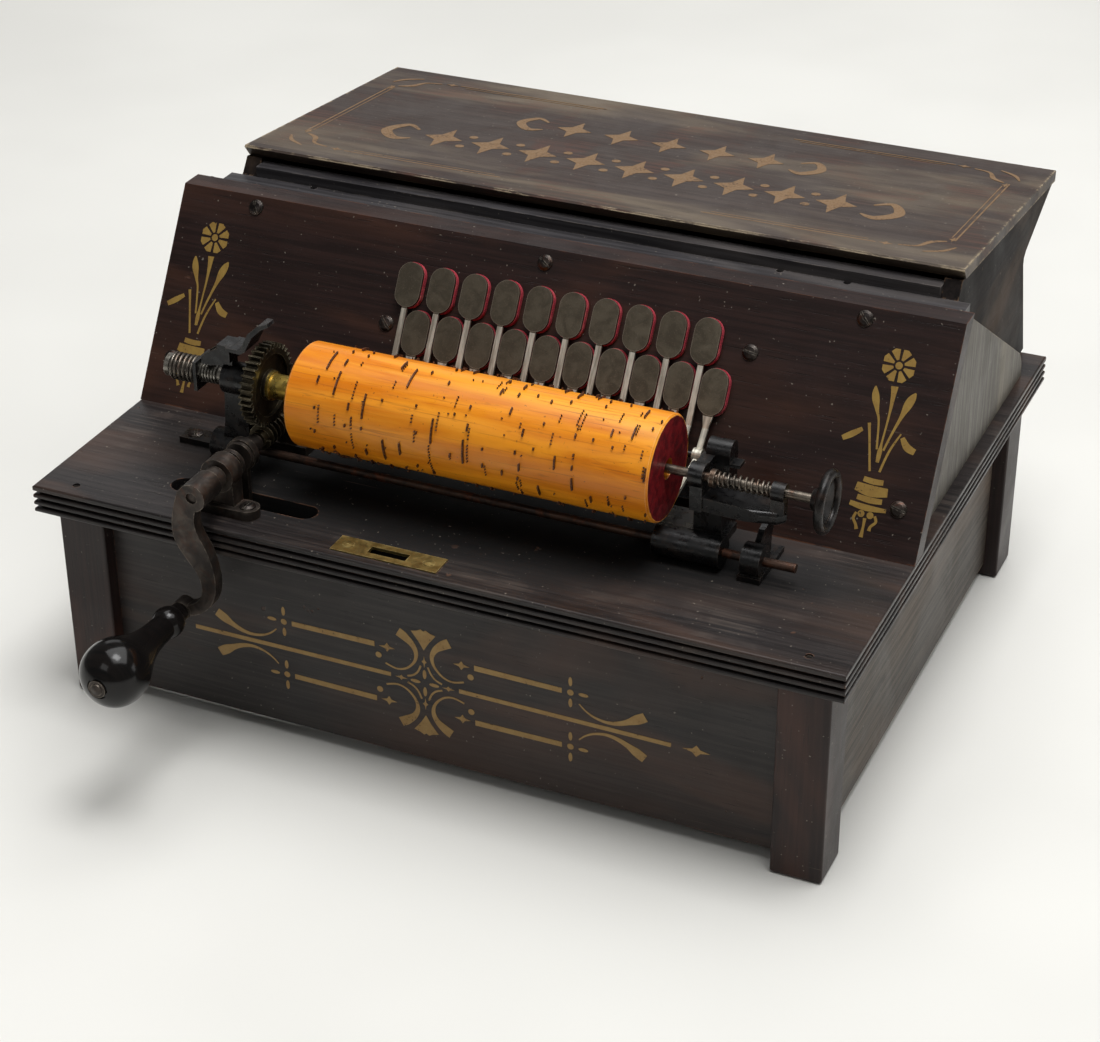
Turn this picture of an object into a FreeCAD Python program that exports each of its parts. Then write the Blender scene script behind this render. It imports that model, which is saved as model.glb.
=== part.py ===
import FreeCAD, Part
import math
import os
import random

# Hand-cranked roller organ: a pinned wooden roller lifts twenty valve keys over a reed board.
# X runs to the player's right, Y to the rear and Z up. The case stands on the plane Z = 0.
# Every shape is drawn about the middle of the deck; ORIGIN_SHIFT then moves the whole object
# back so that its origin is the middle of its overall footprint, crank handle included.

V = FreeCAD.Vector

# ---------------------------------------------------------------- driving dimensions, mm
DECK_W = 378.0
DECK_D = 304.0
DECK_TOP = 111.0
DECK_T = 14.0
REED_GAP = 0.6
POST_INSET = 7.3
POST_W = 23.0
PANEL_SET_BACK = 7.0
PANEL_T = 8.0
PANEL_FLOOR_GAP = 7.0
BOARD_T = 10.0
LID_HALF_W = 176.5
CHEEK_HALF_W = 183.0
ORIGIN_SHIFT = 21.75

SLOPE_FOOT_Y = -62.0
SLOPE_HEAD_Y = -8.6
SLOPE_HEAD_Z = 199.7
SLOPE_ANGLE = math.degrees(math.atan2(SLOPE_HEAD_Z - DECK_TOP, SLOPE_HEAD_Y - SLOPE_FOOT_Y))

LOCK_X0 = -42.0
LOCK_X1 = 8.0
LOCK_Y0 = -147.7
LOCK_Y1 = -135.8
LOCK_Y = 0.5 * (LOCK_Y0 + LOCK_Y1)
LOCK_SINK = 0.8
LOCK_SCREW_X = (-36.0, 2.0)

LEDGE_Z0 = 188.0
LEDGE_Z1 = 194.5
LEDGE_HALF_W = 182.0
LEDGE_BACK_Y = 22.0
LID_FRONT_Y = 27.0
LID_FRONT_Z = 207.3
LID_BACK_Y = 186.7
LID_BACK_Z = 192.4
LID_T = 5.6
LID_WALL = 8.0
LID_FALL = (LID_FRONT_Z - LID_BACK_Z) / (LID_BACK_Y - LID_FRONT_Y)
BACK_FOOT_Y = 155.5
WAIST = (137.5, 167.0)
GAP = 0.1

PAN_V0 = 38.0
PAN_V1 = 92.0
PAN_W0 = -26.0
PAN_W1 = -BOARD_T - 0.2

ROLLER_Y = -94.5
ROLLER_Z = 152.6
ROLLER_R = 23.3
ROLLER_X0 = -78.6
ROLLER_X1 = 90.2
PIN_HEIGHT = 1.2
PIN_DEPTH = 0.6
PIN_W = 0.55

KEY_COUNT = 20
KEY_PITCH = 7.95
KEY_FIRST_X = -63.3
LONG_PALLET_V = 76.1
SHORT_PALLET_V = 55.2
PALLET_W = 12.0
PALLET_H = 20.5
PALLET_W0 = 2.6
PALLET_T = 1.8
FELT_MARGIN = 0.3
FELT_W0 = 0.2
PIVOT_V = 27.0
PIVOT_W = 6.0
PIVOT_R = 1.5
NOSE_GAP = 0.5
NOSE_ANGLE = -58.0

GEAR_TEETH = 36
GEAR_MODULE = 1.0
GEAR_X0 = -103.2
GEAR_X1 = -97.2
WORM_PITCH_R = 5.0
CRANK_X = 0.5 * (GEAR_X0 + GEAR_X1)
CRANK_Z = ROLLER_Z - 0.5 * GEAR_TEETH * GEAR_MODULE - WORM_PITCH_R
THROW_R = 26.0
PITMAN_LENGTH = 72.0
SLOT_X0 = -133.5
SLOT_X1 = -61.0
SLOT_Y0 = -130.0
SLOT_Y1 = -118.5
KNOB_X = -110.2
KNOB_Z = 71.2

ROD_Y = -95.4
ROD_Z = 118.7
ROD_R = 2.0
RUN_FIT = 0.06
MANDREL_R = 3.5
MANDREL_X0 = -149.5
THREAD_X0 = -132.0
THREAD_X1 = -123.5
SEAT_X0 = -133.4
FEED_COIL_R = 5.6
FEED_WIRE_R = 0.8
LEVER_X = -118.5
LEVER_Z = 164.5

ARBOR_R = 2.0
ARBOR_X0 = 77.0
ARBOR_X1 = 157.6
COLLAR_X0 = 109.4
COLLAR_X1 = 111.6
SPRING_X0 = 112.0
SPRING_X1 = 136.0
ARBOR_COIL_R = 2.9
ARBOR_WIRE_R = 0.5

SHAFT_R = 2.2
BIG_SHAFT_R = 4.0
WEB_R = 5.0
WEB1 = (-129.2, -126.8)
WEB2 = (-121.6, -119.2)
CRANK_PIN_R = 2.5
PITMAN_Y = (-125.6, -122.8)
BOSS_Y0 = -140.4
BOSS_Y1 = -131.6
HUB_Y1 = -147.0
ARM_Y0 = -161.5
ARM_Y1 = -155.8
PIN_R = 2.4
KNOB_FRONT_Y = -228.6
KNOB_BACK_Y = -163.0

SCREW_SHANK_R = 1.4
SCREW_SHANK_L = 7.0
NAIL_R = 1.5

FEEDER_OPEN = 12.0
RESERVOIR_OPEN = 9.0
BELLOWS_HINGE_Y = 112.0
BELLOWS_HINGE_Z = 85.0
BELLOWS_FRONT_Y = -112.0
WIND_BOARD_Z0 = 86.0


# ---------------------------------------------------------------- drawing helpers
def box(x0, x1, y0, y1, z0, z1):
    return Part.makeBox(x1 - x0, y1 - y0, z1 - z0, V(x0, y0, z0))


def cyl_x(r, x0, x1, y, z):
    return Part.makeCylinder(r, x1 - x0, V(x0, y, z), V(1, 0, 0))


def cyl_y(r, y0, y1, x, z):
    return Part.makeCylinder(r, y1 - y0, V(x, y0, z), V(0, 1, 0))


def cyl_z(r, z0, z1, x, y):
    return Part.makeCylinder(r, z1 - z0, V(x, y, z0), V(0, 0, 1))


def prism_x(points, x0, x1):
    """A profile of (y, z) points drawn out from x0 to x1."""
    corners = [V(x0, y, z) for y, z in points]
    return Part.Face(Part.makePolygon(corners + corners[:1])).extrude(V(x1 - x0, 0, 0))


def prism_y(points, y0, y1):
    """A profile of (x, z) points drawn out from y0 to y1."""
    corners = [V(x, y0, z) for x, z in points]
    return Part.Face(Part.makePolygon(corners + corners[:1])).extrude(V(0, y1 - y0, 0))


def prism_z(points, z0, z1):
    """A profile of (x, y) points drawn out from z0 to z1."""
    corners = [V(x, y, z0) for x, y in points]
    return Part.Face(Part.makePolygon(corners + corners[:1])).extrude(V(0, 0, z1 - z0))


def turned(points, origin, axis):
    """A turned piece: (distance along the axis, radius) points spun about the axis."""
    corners = [V(r, 0, a) for a, r in points]
    face = Part.Face(Part.makePolygon(corners + corners[:1]))
    solid = face.revolve(V(0, 0, 0), V(0, 0, 1), 360)
    solid.Placement = FreeCAD.Placement(origin, FreeCAD.Rotation(V(0, 0, 1), axis))
    return solid


def smooth_outline(points, y0, y1, closed_by_line=()):
    """A profile in (x, z) whose sides are smooth curves, drawn out from y0 to y1."""
    edges = []
    for run in points:
        curve = Part.BSplineCurve()
        curve.interpolate([V(x, y0, z) for x, z in run])
        edges.append(curve.toShape())
    for (xa, za), (xb, zb) in closed_by_line:
        edges.append(Part.makeLine(V(xa, y0, za), V(xb, y0, zb)))
    wire = Part.Wire(Part.__sortEdges__(edges))
    return Part.Face(wire).extrude(V(0, y1 - y0, 0))


def fused(first, *others):
    return first.multiFuse(list(others)).removeSplitter()


def on_slope(shape):
    """Moves a shape drawn flat (x across, y up the slope, z off the board) onto the sloping board."""
    moved = shape.copy()
    moved.rotate(V(0, 0, 0), V(1, 0, 0), SLOPE_ANGLE)
    moved.translate(V(0, SLOPE_FOOT_Y, DECK_TOP))
    return moved


def obround(width, height, centre_x, centre_y, z0, z1):
    """A tall rounded tablet standing on the flat-drawn board."""
    half = 0.5 * (height - width)
    slab = box(centre_x - 0.5 * width, centre_x + 0.5 * width, centre_y - half, centre_y + half, z0, z1)
    low = cyl_z(0.5 * width, z0, z1, centre_x, centre_y - half)
    high = cyl_z(0.5 * width, z0, z1, centre_x, centre_y + half)
    return fused(slab, low, high)


def round_head_screw(x, y, z, turn=0.0):
    """A slotted round-head screw standing on z, with its shank going down."""
    head = turned([(0, 0), (0, 3.7), (0.7, 3.5), (1.5, 2.4), (1.9, 0)], V(x, y, z), V(0, 0, 1))
    slot = box(x - 4.0, x + 4.0, y - 0.4, y + 0.4, z + 0.9, z + 3.0)
    slot.rotate(V(x, y, z), V(0, 0, 1), turn)
    shank = cyl_z(SCREW_SHANK_R, z - SCREW_SHANK_L, z + 0.2, x, y)
    return fused(head.cut(slot), shank)


def screw_hole(x, y, z):
    return cyl_z(SCREW_SHANK_R + 0.05, z - SCREW_SHANK_L - 0.5, z + 1.0, x, y)


def write(name, *shapes):
    solids = []
    for shape in shapes:
        moved = shape.copy()
        moved.translate(V(0, ORIGIN_SHIFT, 0))
        solids.extend(moved.Solids)
    for solid in solids:
        if not solid.isValid() or solid.Volume <= 0:
            print("CHECK", name, solid.isValid(), solid.Volume)
    Part.makeCompound(solids).exportStep("parts/" + name + ".step")
    print(name, len(solids), round(sum(solid.Volume for solid in solids)))


# ---------------------------------------------------------------- fastener places
BOARD_SCREWS = [(-149.5, 98.2), (-72.3, 57.1), (-2.4, 97.1), (99.2, 75.0), (145.8, 98.2), (177.1, 22.0),
                (-177.1, 22.0)]
DECK_NAILS = [(-171.0, -144.0), (171.0, -144.0), (-171.0, 144.0), (171.0, 144.0)]
FRONT_BEARING_SCREWS = [(-87.8, -136.8), (-113.2, -136.8)]
LEFT_BRACKET_SCREWS = [(-144.0, -86.0), (-131.0, -86.0)]
FOOT_T = 4.5
LEFT_FOOT_T = 3.0


# ---------------------------------------------------------------- base case
def reeded_deck():
    """The deck: a board whose edge is moulded into four round reeds with deep grooves between."""
    half_w = 0.5 * DECK_W
    half_d = 0.5 * DECK_D
    groove = 2.2
    z0 = DECK_TOP - DECK_T
    board = box(-half_w + groove, half_w - groove, -half_d + groove, half_d - groove, z0, DECK_TOP)
    reeds = []
    reed_pitch = DECK_T / 4.0
    for i in range(4):
        low = z0 + i * reed_pitch
        high = low + reed_pitch - (0.0 if i == 3 else REED_GAP)
        reed = box(-half_w, half_w, -half_d, half_d, low + REED_GAP, high)
        outer = [e for e in reed.Edges if e.BoundBox.ZLength < 0.01]
        reeds.append(reed.makeFillet(0.9, outer))
    deck = fused(board, *reeds)
    slot_r = 0.5 * (SLOT_Y1 - SLOT_Y0)
    slot_y = 0.5 * (SLOT_Y1 + SLOT_Y0)
    cuts = [box(SLOT_X0 + slot_r, SLOT_X1 - slot_r, SLOT_Y0, SLOT_Y1, z0 - 1, DECK_TOP + 1),
            cyl_z(slot_r, z0 - 1, DECK_TOP + 1, SLOT_X0 + slot_r, slot_y),
            cyl_z(slot_r, z0 - 1, DECK_TOP + 1, SLOT_X1 - slot_r, slot_y)]
    for x, y in DECK_NAILS:
        cuts.append(cyl_z(NAIL_R + 0.2, DECK_TOP - 10.0, DECK_TOP + 1, x, y))
    for x, y in FRONT_BEARING_SCREWS:
        cuts.append(screw_hole(x, y, DECK_TOP + FOOT_T))
    for x, y in LEFT_BRACKET_SCREWS:
        cuts.append(screw_hole(x, y, DECK_TOP + LEFT_FOOT_T))
    cuts.append(box(LOCK_X0, LOCK_X1, LOCK_Y0, LOCK_Y1, DECK_TOP - LOCK_SINK, DECK_TOP + 1))
    cuts.append(box(-27.0, -7.0, -145.0, -138.5, DECK_TOP - 9.0, DECK_TOP))
    for x in LOCK_SCREW_X:
        cuts.append(cyl_z(1.45, DECK_TOP - 8.0, DECK_TOP, x, LOCK_Y))
    return deck.cut(Part.makeCompound(cuts))


def lock_plate():
    """Brass strike plate let into the deck, left over from the cover that used to close over the roller."""
    plate = box(LOCK_X0, LOCK_X1, LOCK_Y0, LOCK_Y1, DECK_TOP - LOCK_SINK, DECK_TOP + 0.6)
    window = box(-26.0, -8.0, -144.3, -139.2, DECK_TOP - 2, DECK_TOP + 2)
    plate = plate.cut(window)
    screws = []
    for x in LOCK_SCREW_X:
        plate = plate.cut(cyl_z(1.5, DECK_TOP - 2, DECK_TOP + 2, x, LOCK_Y))
        head = turned([(0, 0), (0, 2.6), (0.3, 2.5), (0.7, 0)], V(x, LOCK_Y, DECK_TOP + 0.6), V(0, 0, 1))
        slot = box(x - 3, x + 3, LOCK_Y - 0.3, LOCK_Y + 0.3, DECK_TOP + 0.95, DECK_TOP + 3)
        screws.append(fused(head.cut(slot), cyl_z(1.4, DECK_TOP - 7.0, DECK_TOP + 0.7, x, LOCK_Y)))
    return [plate] + screws


def corner_post(side, end):
    """One post of the base, with its foot worn round."""
    x = side * (0.5 * DECK_W - POST_INSET - 0.5 * POST_W)
    y = end * (0.5 * DECK_D - POST_INSET - 0.5 * POST_W)
    half = 0.5 * POST_W
    post = box(x - half, x + half, y - half, y + half, 0, DECK_TOP - DECK_T)
    uprights = [e for e in post.Edges if e.BoundBox.ZLength > 50]
    post = post.makeFillet(1.0, uprights)
    foot = [e for e in post.Edges if e.BoundBox.ZMax < 0.01]
    return post.makeFillet(2.0, foot)


def base_panels():
    panel_x = 0.5 * DECK_W - POST_INSET - PANEL_SET_BACK
    panel_y = 0.5 * DECK_D - POST_INSET - PANEL_SET_BACK
    inner_x = 0.5 * DECK_W - POST_INSET - POST_W
    inner_y = 0.5 * DECK_D - POST_INSET - POST_W
    top = DECK_TOP - DECK_T
    front = box(-inner_x, inner_x, -panel_y, -panel_y + PANEL_T, PANEL_FLOOR_GAP, top)
    back = box(-inner_x, inner_x, panel_y - PANEL_T, panel_y, PANEL_FLOOR_GAP, top)
    sides = []
    for side in (-1, 1):
        x0, x1 = sorted((side * panel_x, side * (panel_x - PANEL_T)))
        sides.append(box(x0, x1, -inner_y, inner_y, PANEL_FLOOR_GAP, top))
    return front, back, sides


# ---------------------------------------------------------------- upper case
def board_back(z):
    """Where the back face of the sloping board lies at height z."""
    run = (SLOPE_HEAD_Y - SLOPE_FOOT_Y) / (SLOPE_HEAD_Z - DECK_TOP)
    return SLOPE_FOOT_Y + (z - DECK_TOP) * run + BOARD_T / math.sin(math.radians(SLOPE_ANGLE))


def key_x(i):
    return KEY_FIRST_X + KEY_PITCH * i


def pallet_v(i):
    return LONG_PALLET_V if i % 2 == 0 else SHORT_PALLET_V


def valve_board():
    half_w = 0.5 * DECK_W
    z1 = SLOPE_HEAD_Z
    board = prism_x([(SLOPE_FOOT_Y, DECK_TOP), (SLOPE_HEAD_Y, z1), (board_back(z1), z1),
                     (board_back(DECK_TOP), DECK_TOP)], -half_w, half_w)
    cuts = [on_slope(obround(7.0, 14.0, key_x(i), pallet_v(i), -BOARD_T - 2, 2)) for i in range(KEY_COUNT)]
    cuts += [on_slope(screw_hole(u, v, 0)) for u, v in BOARD_SCREWS]
    return board.cut(Part.makeCompound(cuts))


def under_lid(y):
    return LID_FRONT_Z - LID_T - LID_FALL * (y - LID_FRONT_Y)


def side_cheek(side):
    """Three-cornered board that closes the end of the sloping board, notched for the ledge rail."""
    outline = [(board_back(DECK_TOP) + GAP, DECK_TOP), (board_back(199.0) + GAP, 199.0), (5.0, 199.0),
               (121.0, 125.5), (126.0, 119.0), (127.5, DECK_TOP)]
    x0, x1 = sorted((side * (LID_HALF_W + GAP), side * CHEEK_HALF_W))
    cheek = prism_x(outline, x0, x1)
    n0, n1 = sorted((side * (LID_HALF_W - 1), side * (LEDGE_HALF_W + GAP)))
    return cheek.cut(box(n0, n1, -20, LEDGE_BACK_Y + GAP, LEDGE_Z0 - GAP, 210))


def ledge_rail():
    outline = [(board_back(LEDGE_Z0) + GAP, LEDGE_Z0), (board_back(LEDGE_Z1) + GAP, LEDGE_Z1),
               (LEDGE_BACK_Y, LEDGE_Z1), (LEDGE_BACK_Y, LEDGE_Z0)]
    rail = prism_x(outline, -LEDGE_HALF_W, LEDGE_HALF_W)
    chips = [turned([(0, 0), (0, 2.1), (6, 1.6), (6, 0)], V(x, LEDGE_BACK_Y - 1.0, LEDGE_Z1 - 5), V(0, 0, 1))
             for x in (-137.0, 96.0, 127.0)]
    return rail.cut(Part.makeCompound(chips))


def lid_side_board(side):
    x0, x1 = sorted((side * LID_HALF_W, side * (LID_HALF_W - LID_WALL)))
    outline = [(board_back(DECK_TOP) + GAP, DECK_TOP), (BACK_FOOT_Y, DECK_TOP),
               (WAIST[0] + 1.2, WAIST[1] - 4.5),
               (WAIST[0] + 1.3, WAIST[1] - 1.0), (WAIST[0] + 4.5, WAIST[1] + 1.8),
               (184.0, under_lid(184.0)), (LID_FRONT_Y + 1.0, under_lid(LID_FRONT_Y + 1.0)),
               (22.9, LEDGE_Z1 + GAP), (LEDGE_BACK_Y + GAP, LEDGE_Z1), (LEDGE_BACK_Y + GAP, LEDGE_Z0 - GAP),
               (board_back(LEDGE_Z0 - GAP) + GAP, LEDGE_Z0 - GAP)]
    return prism_x(outline, x0, x1)


def lid_top_board():
    """Roof board, falling to the rear, with its front edge bevelled back underneath."""
    outline = [(LID_FRONT_Y, LID_FRONT_Z - 0.8), (LID_FRONT_Y + 0.8, LID_FRONT_Z),
               (LID_BACK_Y - 0.8, LID_BACK_Z),
               (LID_BACK_Y, LID_BACK_Z - 0.9), (LID_BACK_Y - 0.6, under_lid(LID_BACK_Y - 0.6)),
               (LID_FRONT_Y + 4.0, under_lid(LID_FRONT_Y + 4.0))]
    board = prism_x(outline, -LID_HALF_W - 0.6, LID_HALF_W + 0.6)
    return board


def lid_back_board():
    outline = [(BACK_FOOT_Y, DECK_TOP), WAIST, (183.0, under_lid(183.0)), (169.3, under_lid(169.3)),
               (128.9, 170.9), (148.6, DECK_TOP)]
    half = LID_HALF_W - LID_WALL
    return prism_x(outline, -half, half)


def lid_front_rail():
    half = LID_HALF_W - LID_WALL
    return box(-half, half, LEDGE_BACK_Y + GAP, LEDGE_BACK_Y + 8.0, LEDGE_Z0, 199.6)


# ---------------------------------------------------------------- reeds behind the sloping board
def reed_pan():
    """Wooden block of reed cells behind the sloping board; each cell breathes through one port."""
    pan = box(key_x(0) - 9, key_x(KEY_COUNT - 1) + 9, PAN_V0, PAN_V1, PAN_W0, PAN_W1)
    cells = [box(key_x(i) - 2.9, key_x(i) + 2.9, PAN_V0 + 5, PAN_V1 - 4, PAN_W0 + 4, PAN_W1 + 1)
             for i in range(KEY_COUNT)]
    return on_slope(pan.cut(Part.makeCompound(cells)))


def brass_reeds():
    reeds = []
    for i in range(KEY_COUNT):
        plate_length = 42.0 - 0.9 * i
        centre = 0.5 * (PAN_V0 + PAN_V1)
        v0 = centre - 0.5 * plate_length
        frame = box(key_x(i) - 2.7, key_x(i) + 2.7, v0, v0 + plate_length, PAN_W0 + 4, PAN_W0 + 5.6)
        window = box(key_x(i) - 1.2, key_x(i) + 1.2, v0 + 6, v0 + plate_length - 3, PAN_W0 + 3, PAN_W0 + 6.6)
        tongue = box(key_x(i) - 1.0, key_x(i) + 1.0, v0 + 2, v0 + plate_length - 3.4,
                     PAN_W0 + 5.5, PAN_W0 + 6.0)
        reeds.append(on_slope(fused(frame.cut(window), tongue)))
    return reeds


# ---------------------------------------------------------------- valve keys
def local_of(y, z):
    """Board coordinates (v up the slope, w off the board) of a point in space."""
    a = math.radians(SLOPE_ANGLE)
    dy = y - SLOPE_FOOT_Y
    dz = z - DECK_TOP
    return dy * math.cos(a) + dz * math.sin(a), -dy * math.sin(a) + dz * math.cos(a)


def strip_between(points, thickness, x0, x1):
    """A flat strip of metal, bent through (v, w) points, x0 to x1 wide."""
    legs = []
    for (va, wa), (vb, wb) in zip(points, points[1:]):
        length = math.hypot(vb - va, wb - wa)
        nv = -(wb - wa) / length * 0.5 * thickness
        nw = (vb - va) / length * 0.5 * thickness
        outline = [(va + nv, wa + nw), (vb + nv, wb + nw), (vb - nv, wb - nw), (va - nv, wa - nw)]
        legs.append(prism_x(outline, x0, x1))
        legs.append(cyl_x(0.5 * thickness, x0, x1, vb, wb))
    return legs


def key_steel(i):
    x = key_x(i)
    v = pallet_v(i)
    pallet = obround(PALLET_W, PALLET_H, x, v, PALLET_W0, PALLET_W0 + PALLET_T)
    arm_w = PALLET_W0 + 0.5 * PALLET_T
    arm = strip_between([(PIVOT_V + 1.5, PIVOT_W), (PIVOT_V + 12, arm_w), (v, arm_w)], 1.4, x - 1.3, x + 1.3)
    hub = cyl_x(3.4, x - 2.0, x + 2.0, PIVOT_V, PIVOT_W)
    reach = ROLLER_R + PIN_HEIGHT + NOSE_GAP + 0.9
    tip = local_of(ROLLER_Y + reach * math.cos(math.radians(NOSE_ANGLE)),
                   ROLLER_Z + reach * math.sin(math.radians(NOSE_ANGLE)))
    nose = strip_between([(PIVOT_V, PIVOT_W), tip], 1.8, x - 0.9, x + 0.9)
    parts = [pallet, hub] + arm + nose
    if i % 2 == 1:
        web = prism_z([(x - 1.3, PIVOT_V + 13), (x + 1.3, PIVOT_V + 13),
                       (x + 2.6, v - 9.0), (x - 2.6, v - 9.0)],
                      arm_w - 0.7, arm_w + 0.7)
        parts.append(web)
    bore = cyl_x(PIVOT_R + RUN_FIT, x - 3, x + 3, PIVOT_V, PIVOT_W)
    return on_slope(fused(*parts).cut(bore))


def key_felt(i):
    return on_slope(obround(PALLET_W + 2 * FELT_MARGIN, PALLET_H + 2 * FELT_MARGIN, key_x(i), pallet_v(i),
                            FELT_W0, PALLET_W0))


def key_rail():
    """Rail screwed along the foot of the sloping board; its lugs hold the rod the keys turn on."""
    x0 = key_x(0) - 7.5
    x1 = key_x(KEY_COUNT - 1) + 7.5
    rail = box(x0, x1, 8.0, 17.0, 0, 4.5)
    lugs = []
    for x in (x0, key_x(6) + 0.5 * KEY_PITCH - 1.4, key_x(12) + 0.5 * KEY_PITCH - 1.4, x1 - 2.8):
        blade = prism_x([(9, 0), (9, 4.5), (PIVOT_V - 3.2, PIVOT_W + 2), (PIVOT_V, PIVOT_W + 3.6),
                         (PIVOT_V + 3.4, PIVOT_W), (PIVOT_V + 3.4, 0)], x, x + 2.8)
        lugs.append(blade)
    body = fused(rail, *lugs).cut(cyl_x(PIVOT_R + 0.02, x0 - 1, x1 + 1, PIVOT_V, PIVOT_W))
    rod = cyl_x(PIVOT_R, x0 - 1.5, x1 + 1.5, PIVOT_V, PIVOT_W)
    return on_slope(body), on_slope(rod)


# ---------------------------------------------------------------- roller and its drive
def roller():
    """Turned wooden roller with eased ends, bored at both ends."""
    length = ROLLER_X1 - ROLLER_X0
    body = turned([(0, 0), (0, ROLLER_R - 0.8), (0.8, ROLLER_R), (length - 0.8, ROLLER_R),
                   (length, ROLLER_R - 0.8), (length, 0)], V(ROLLER_X0, ROLLER_Y, ROLLER_Z), V(1, 0, 0))
    left = cyl_x(MANDREL_R + 0.05, ROLLER_X0 - 1, ROLLER_X0 + 12, ROLLER_Y, ROLLER_Z)
    right = cyl_x(ARBOR_R + RUN_FIT, ROLLER_X1 - 20, ROLLER_X1 + 1, ROLLER_Y, ROLLER_Z)
    mouth = turned([(0, 0), (0, ARBOR_R + RUN_FIT), (1.2, 4.2), (4.1, 4.6), (4.1, 0)],
                   V(ROLLER_X1 - 4.0, ROLLER_Y, ROLLER_Z), V(1, 0, 0))
    return body.cut(Part.makeCompound([left, right, mouth]))


def roller_pins():
    """Pins and bridges driven into the roller, in three interleaved turns of the tune's spiral."""
    rng = random.Random(1887)
    pins = []
    for i in range(KEY_COUNT):
        angle = rng.uniform(0, 40)
        while angle < 330:
            turn_of_spiral = rng.choice((-1.0, 0.0, 1.0))
            x = key_x(i) + turn_of_spiral * 1.0
            sweep = rng.choice((3.0, 3.0, 4.0, 5.0, 8.0, 14.0))
            if rng.random() < 0.06:
                sweep = 26.0
            r0 = ROLLER_R - PIN_DEPTH
            r1 = ROLLER_R + PIN_HEIGHT
            corners = [V(x - 0.5 * PIN_W, r0, 0), V(x + 0.5 * PIN_W, r0, 0), V(x + 0.5 * PIN_W, r1, 0),
                       V(x - 0.5 * PIN_W, r1, 0)]
            face = Part.Face(Part.makePolygon(corners + corners[:1]))
            pin = face.revolve(V(0, 0, 0), V(1, 0, 0), sweep)
            pin.rotate(V(0, 0, 0), V(1, 0, 0), angle)
            pin.translate(V(0, ROLLER_Y, ROLLER_Z))
            pins.append(pin)
            angle += sweep + rng.choice((9.0, 15.0, 24.0, 40.0, 60.0))
    return pins


def drive_gear():
    """Spur wheel with a gap between two teeth at the very bottom, where the worm runs."""
    pitch_r = 0.5 * GEAR_TEETH * GEAR_MODULE
    tip_r = pitch_r + 0.9
    root_r = pitch_r - 1.2
    tip_half = math.degrees(0.36 / tip_r)
    root_half = math.degrees(0.82 / root_r)
    step = 360.0 / GEAR_TEETH
    outline = []
    for i in range(GEAR_TEETH):
        centre = -90.0 + 0.5 * step + i * step
        corners = ((root_r, -root_half), (tip_r, -tip_half), (tip_r, tip_half), (root_r, root_half))
        for radius, offset in corners:
            a = math.radians(centre + offset)
            outline.append((ROLLER_Y + radius * math.cos(a), ROLLER_Z + radius * math.sin(a)))
    wheel = prism_x(outline, GEAR_X0, GEAR_X1)
    recess = 1.7
    for x0, x1 in ((GEAR_X0 - 1, GEAR_X0 + recess), (GEAR_X1 - recess, GEAR_X1 + 1)):
        ring = cyl_x(14.2, x0, x1, ROLLER_Y, ROLLER_Z).cut(cyl_x(7.0, x0, x1, ROLLER_Y, ROLLER_Z))
        wheel = wheel.cut(ring)
    return wheel.cut(cyl_x(MANDREL_R + 0.03, GEAR_X0 - 1, GEAR_X1 + 1, ROLLER_Y, ROLLER_Z))


def gear_hub():
    """Brass sleeve between the wheel and the roller, with a collar against the wheel."""
    x0 = GEAR_X1 + 0.05
    sleeve = turned([(0, MANDREL_R + 0.03), (0, 6.6), (1.4, 6.6), (1.4, 5.6), (10.4, 5.6), (11.2, 5.0),
                     (11.2, MANDREL_R + 0.03)], V(x0, ROLLER_Y, ROLLER_Z), V(1, 0, 0))
    return sleeve


def mandrel():
    """Driving spindle with the feed thread, an end collar for the return spring and a driving disc."""
    x1 = ROLLER_X0 + 11.5
    length = x1 - MANDREL_X0
    profile = [(0, 0), (0, 5.2), (2.2, 5.2), (2.2, MANDREL_R)]
    start = THREAD_X0 - MANDREL_X0
    ridge_pitch = 1.5
    a = start
    profile.append((a, MANDREL_R))
    while a < THREAD_X1 - MANDREL_X0 - 0.01:
        profile += [(a + 0.35, 4.6), (a + 0.75, 4.6), (a + 1.1, MANDREL_R + 0.35)]
        if a + ridge_pitch < THREAD_X1 - MANDREL_X0 - 0.01:
            profile.append((a + ridge_pitch, MANDREL_R + 0.35))
        a += ridge_pitch
    profile += [(a, MANDREL_R), (length, MANDREL_R), (length, 0)]
    spindle = turned(profile, V(MANDREL_X0, ROLLER_Y, ROLLER_Z), V(1, 0, 0))
    disc = cyl_x(9.0, ROLLER_X0 - 2.6, ROLLER_X0 - 0.2, ROLLER_Y, ROLLER_Z)
    return fused(spindle, disc)


def coil(wire_r, coil_r, x0, x1, turns):
    """A coil spring lying along X about the roller's axis."""
    pitch = (x1 - x0 - 2 * wire_r) / turns
    helix = Part.makeHelix(pitch, pitch * turns, coil_r)
    ring = Part.Wire([Part.makeCircle(wire_r, V(coil_r, 0, 0), V(0, 1, 0))])
    spring = Part.Wire(helix).makePipeShell([ring], True, True)
    turn = FreeCAD.Rotation(V(0, 0, 1), V(1, 0, 0))
    spring.Placement = FreeCAD.Placement(V(x0 + wire_r, ROLLER_Y, ROLLER_Z), turn)
    return spring


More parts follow.
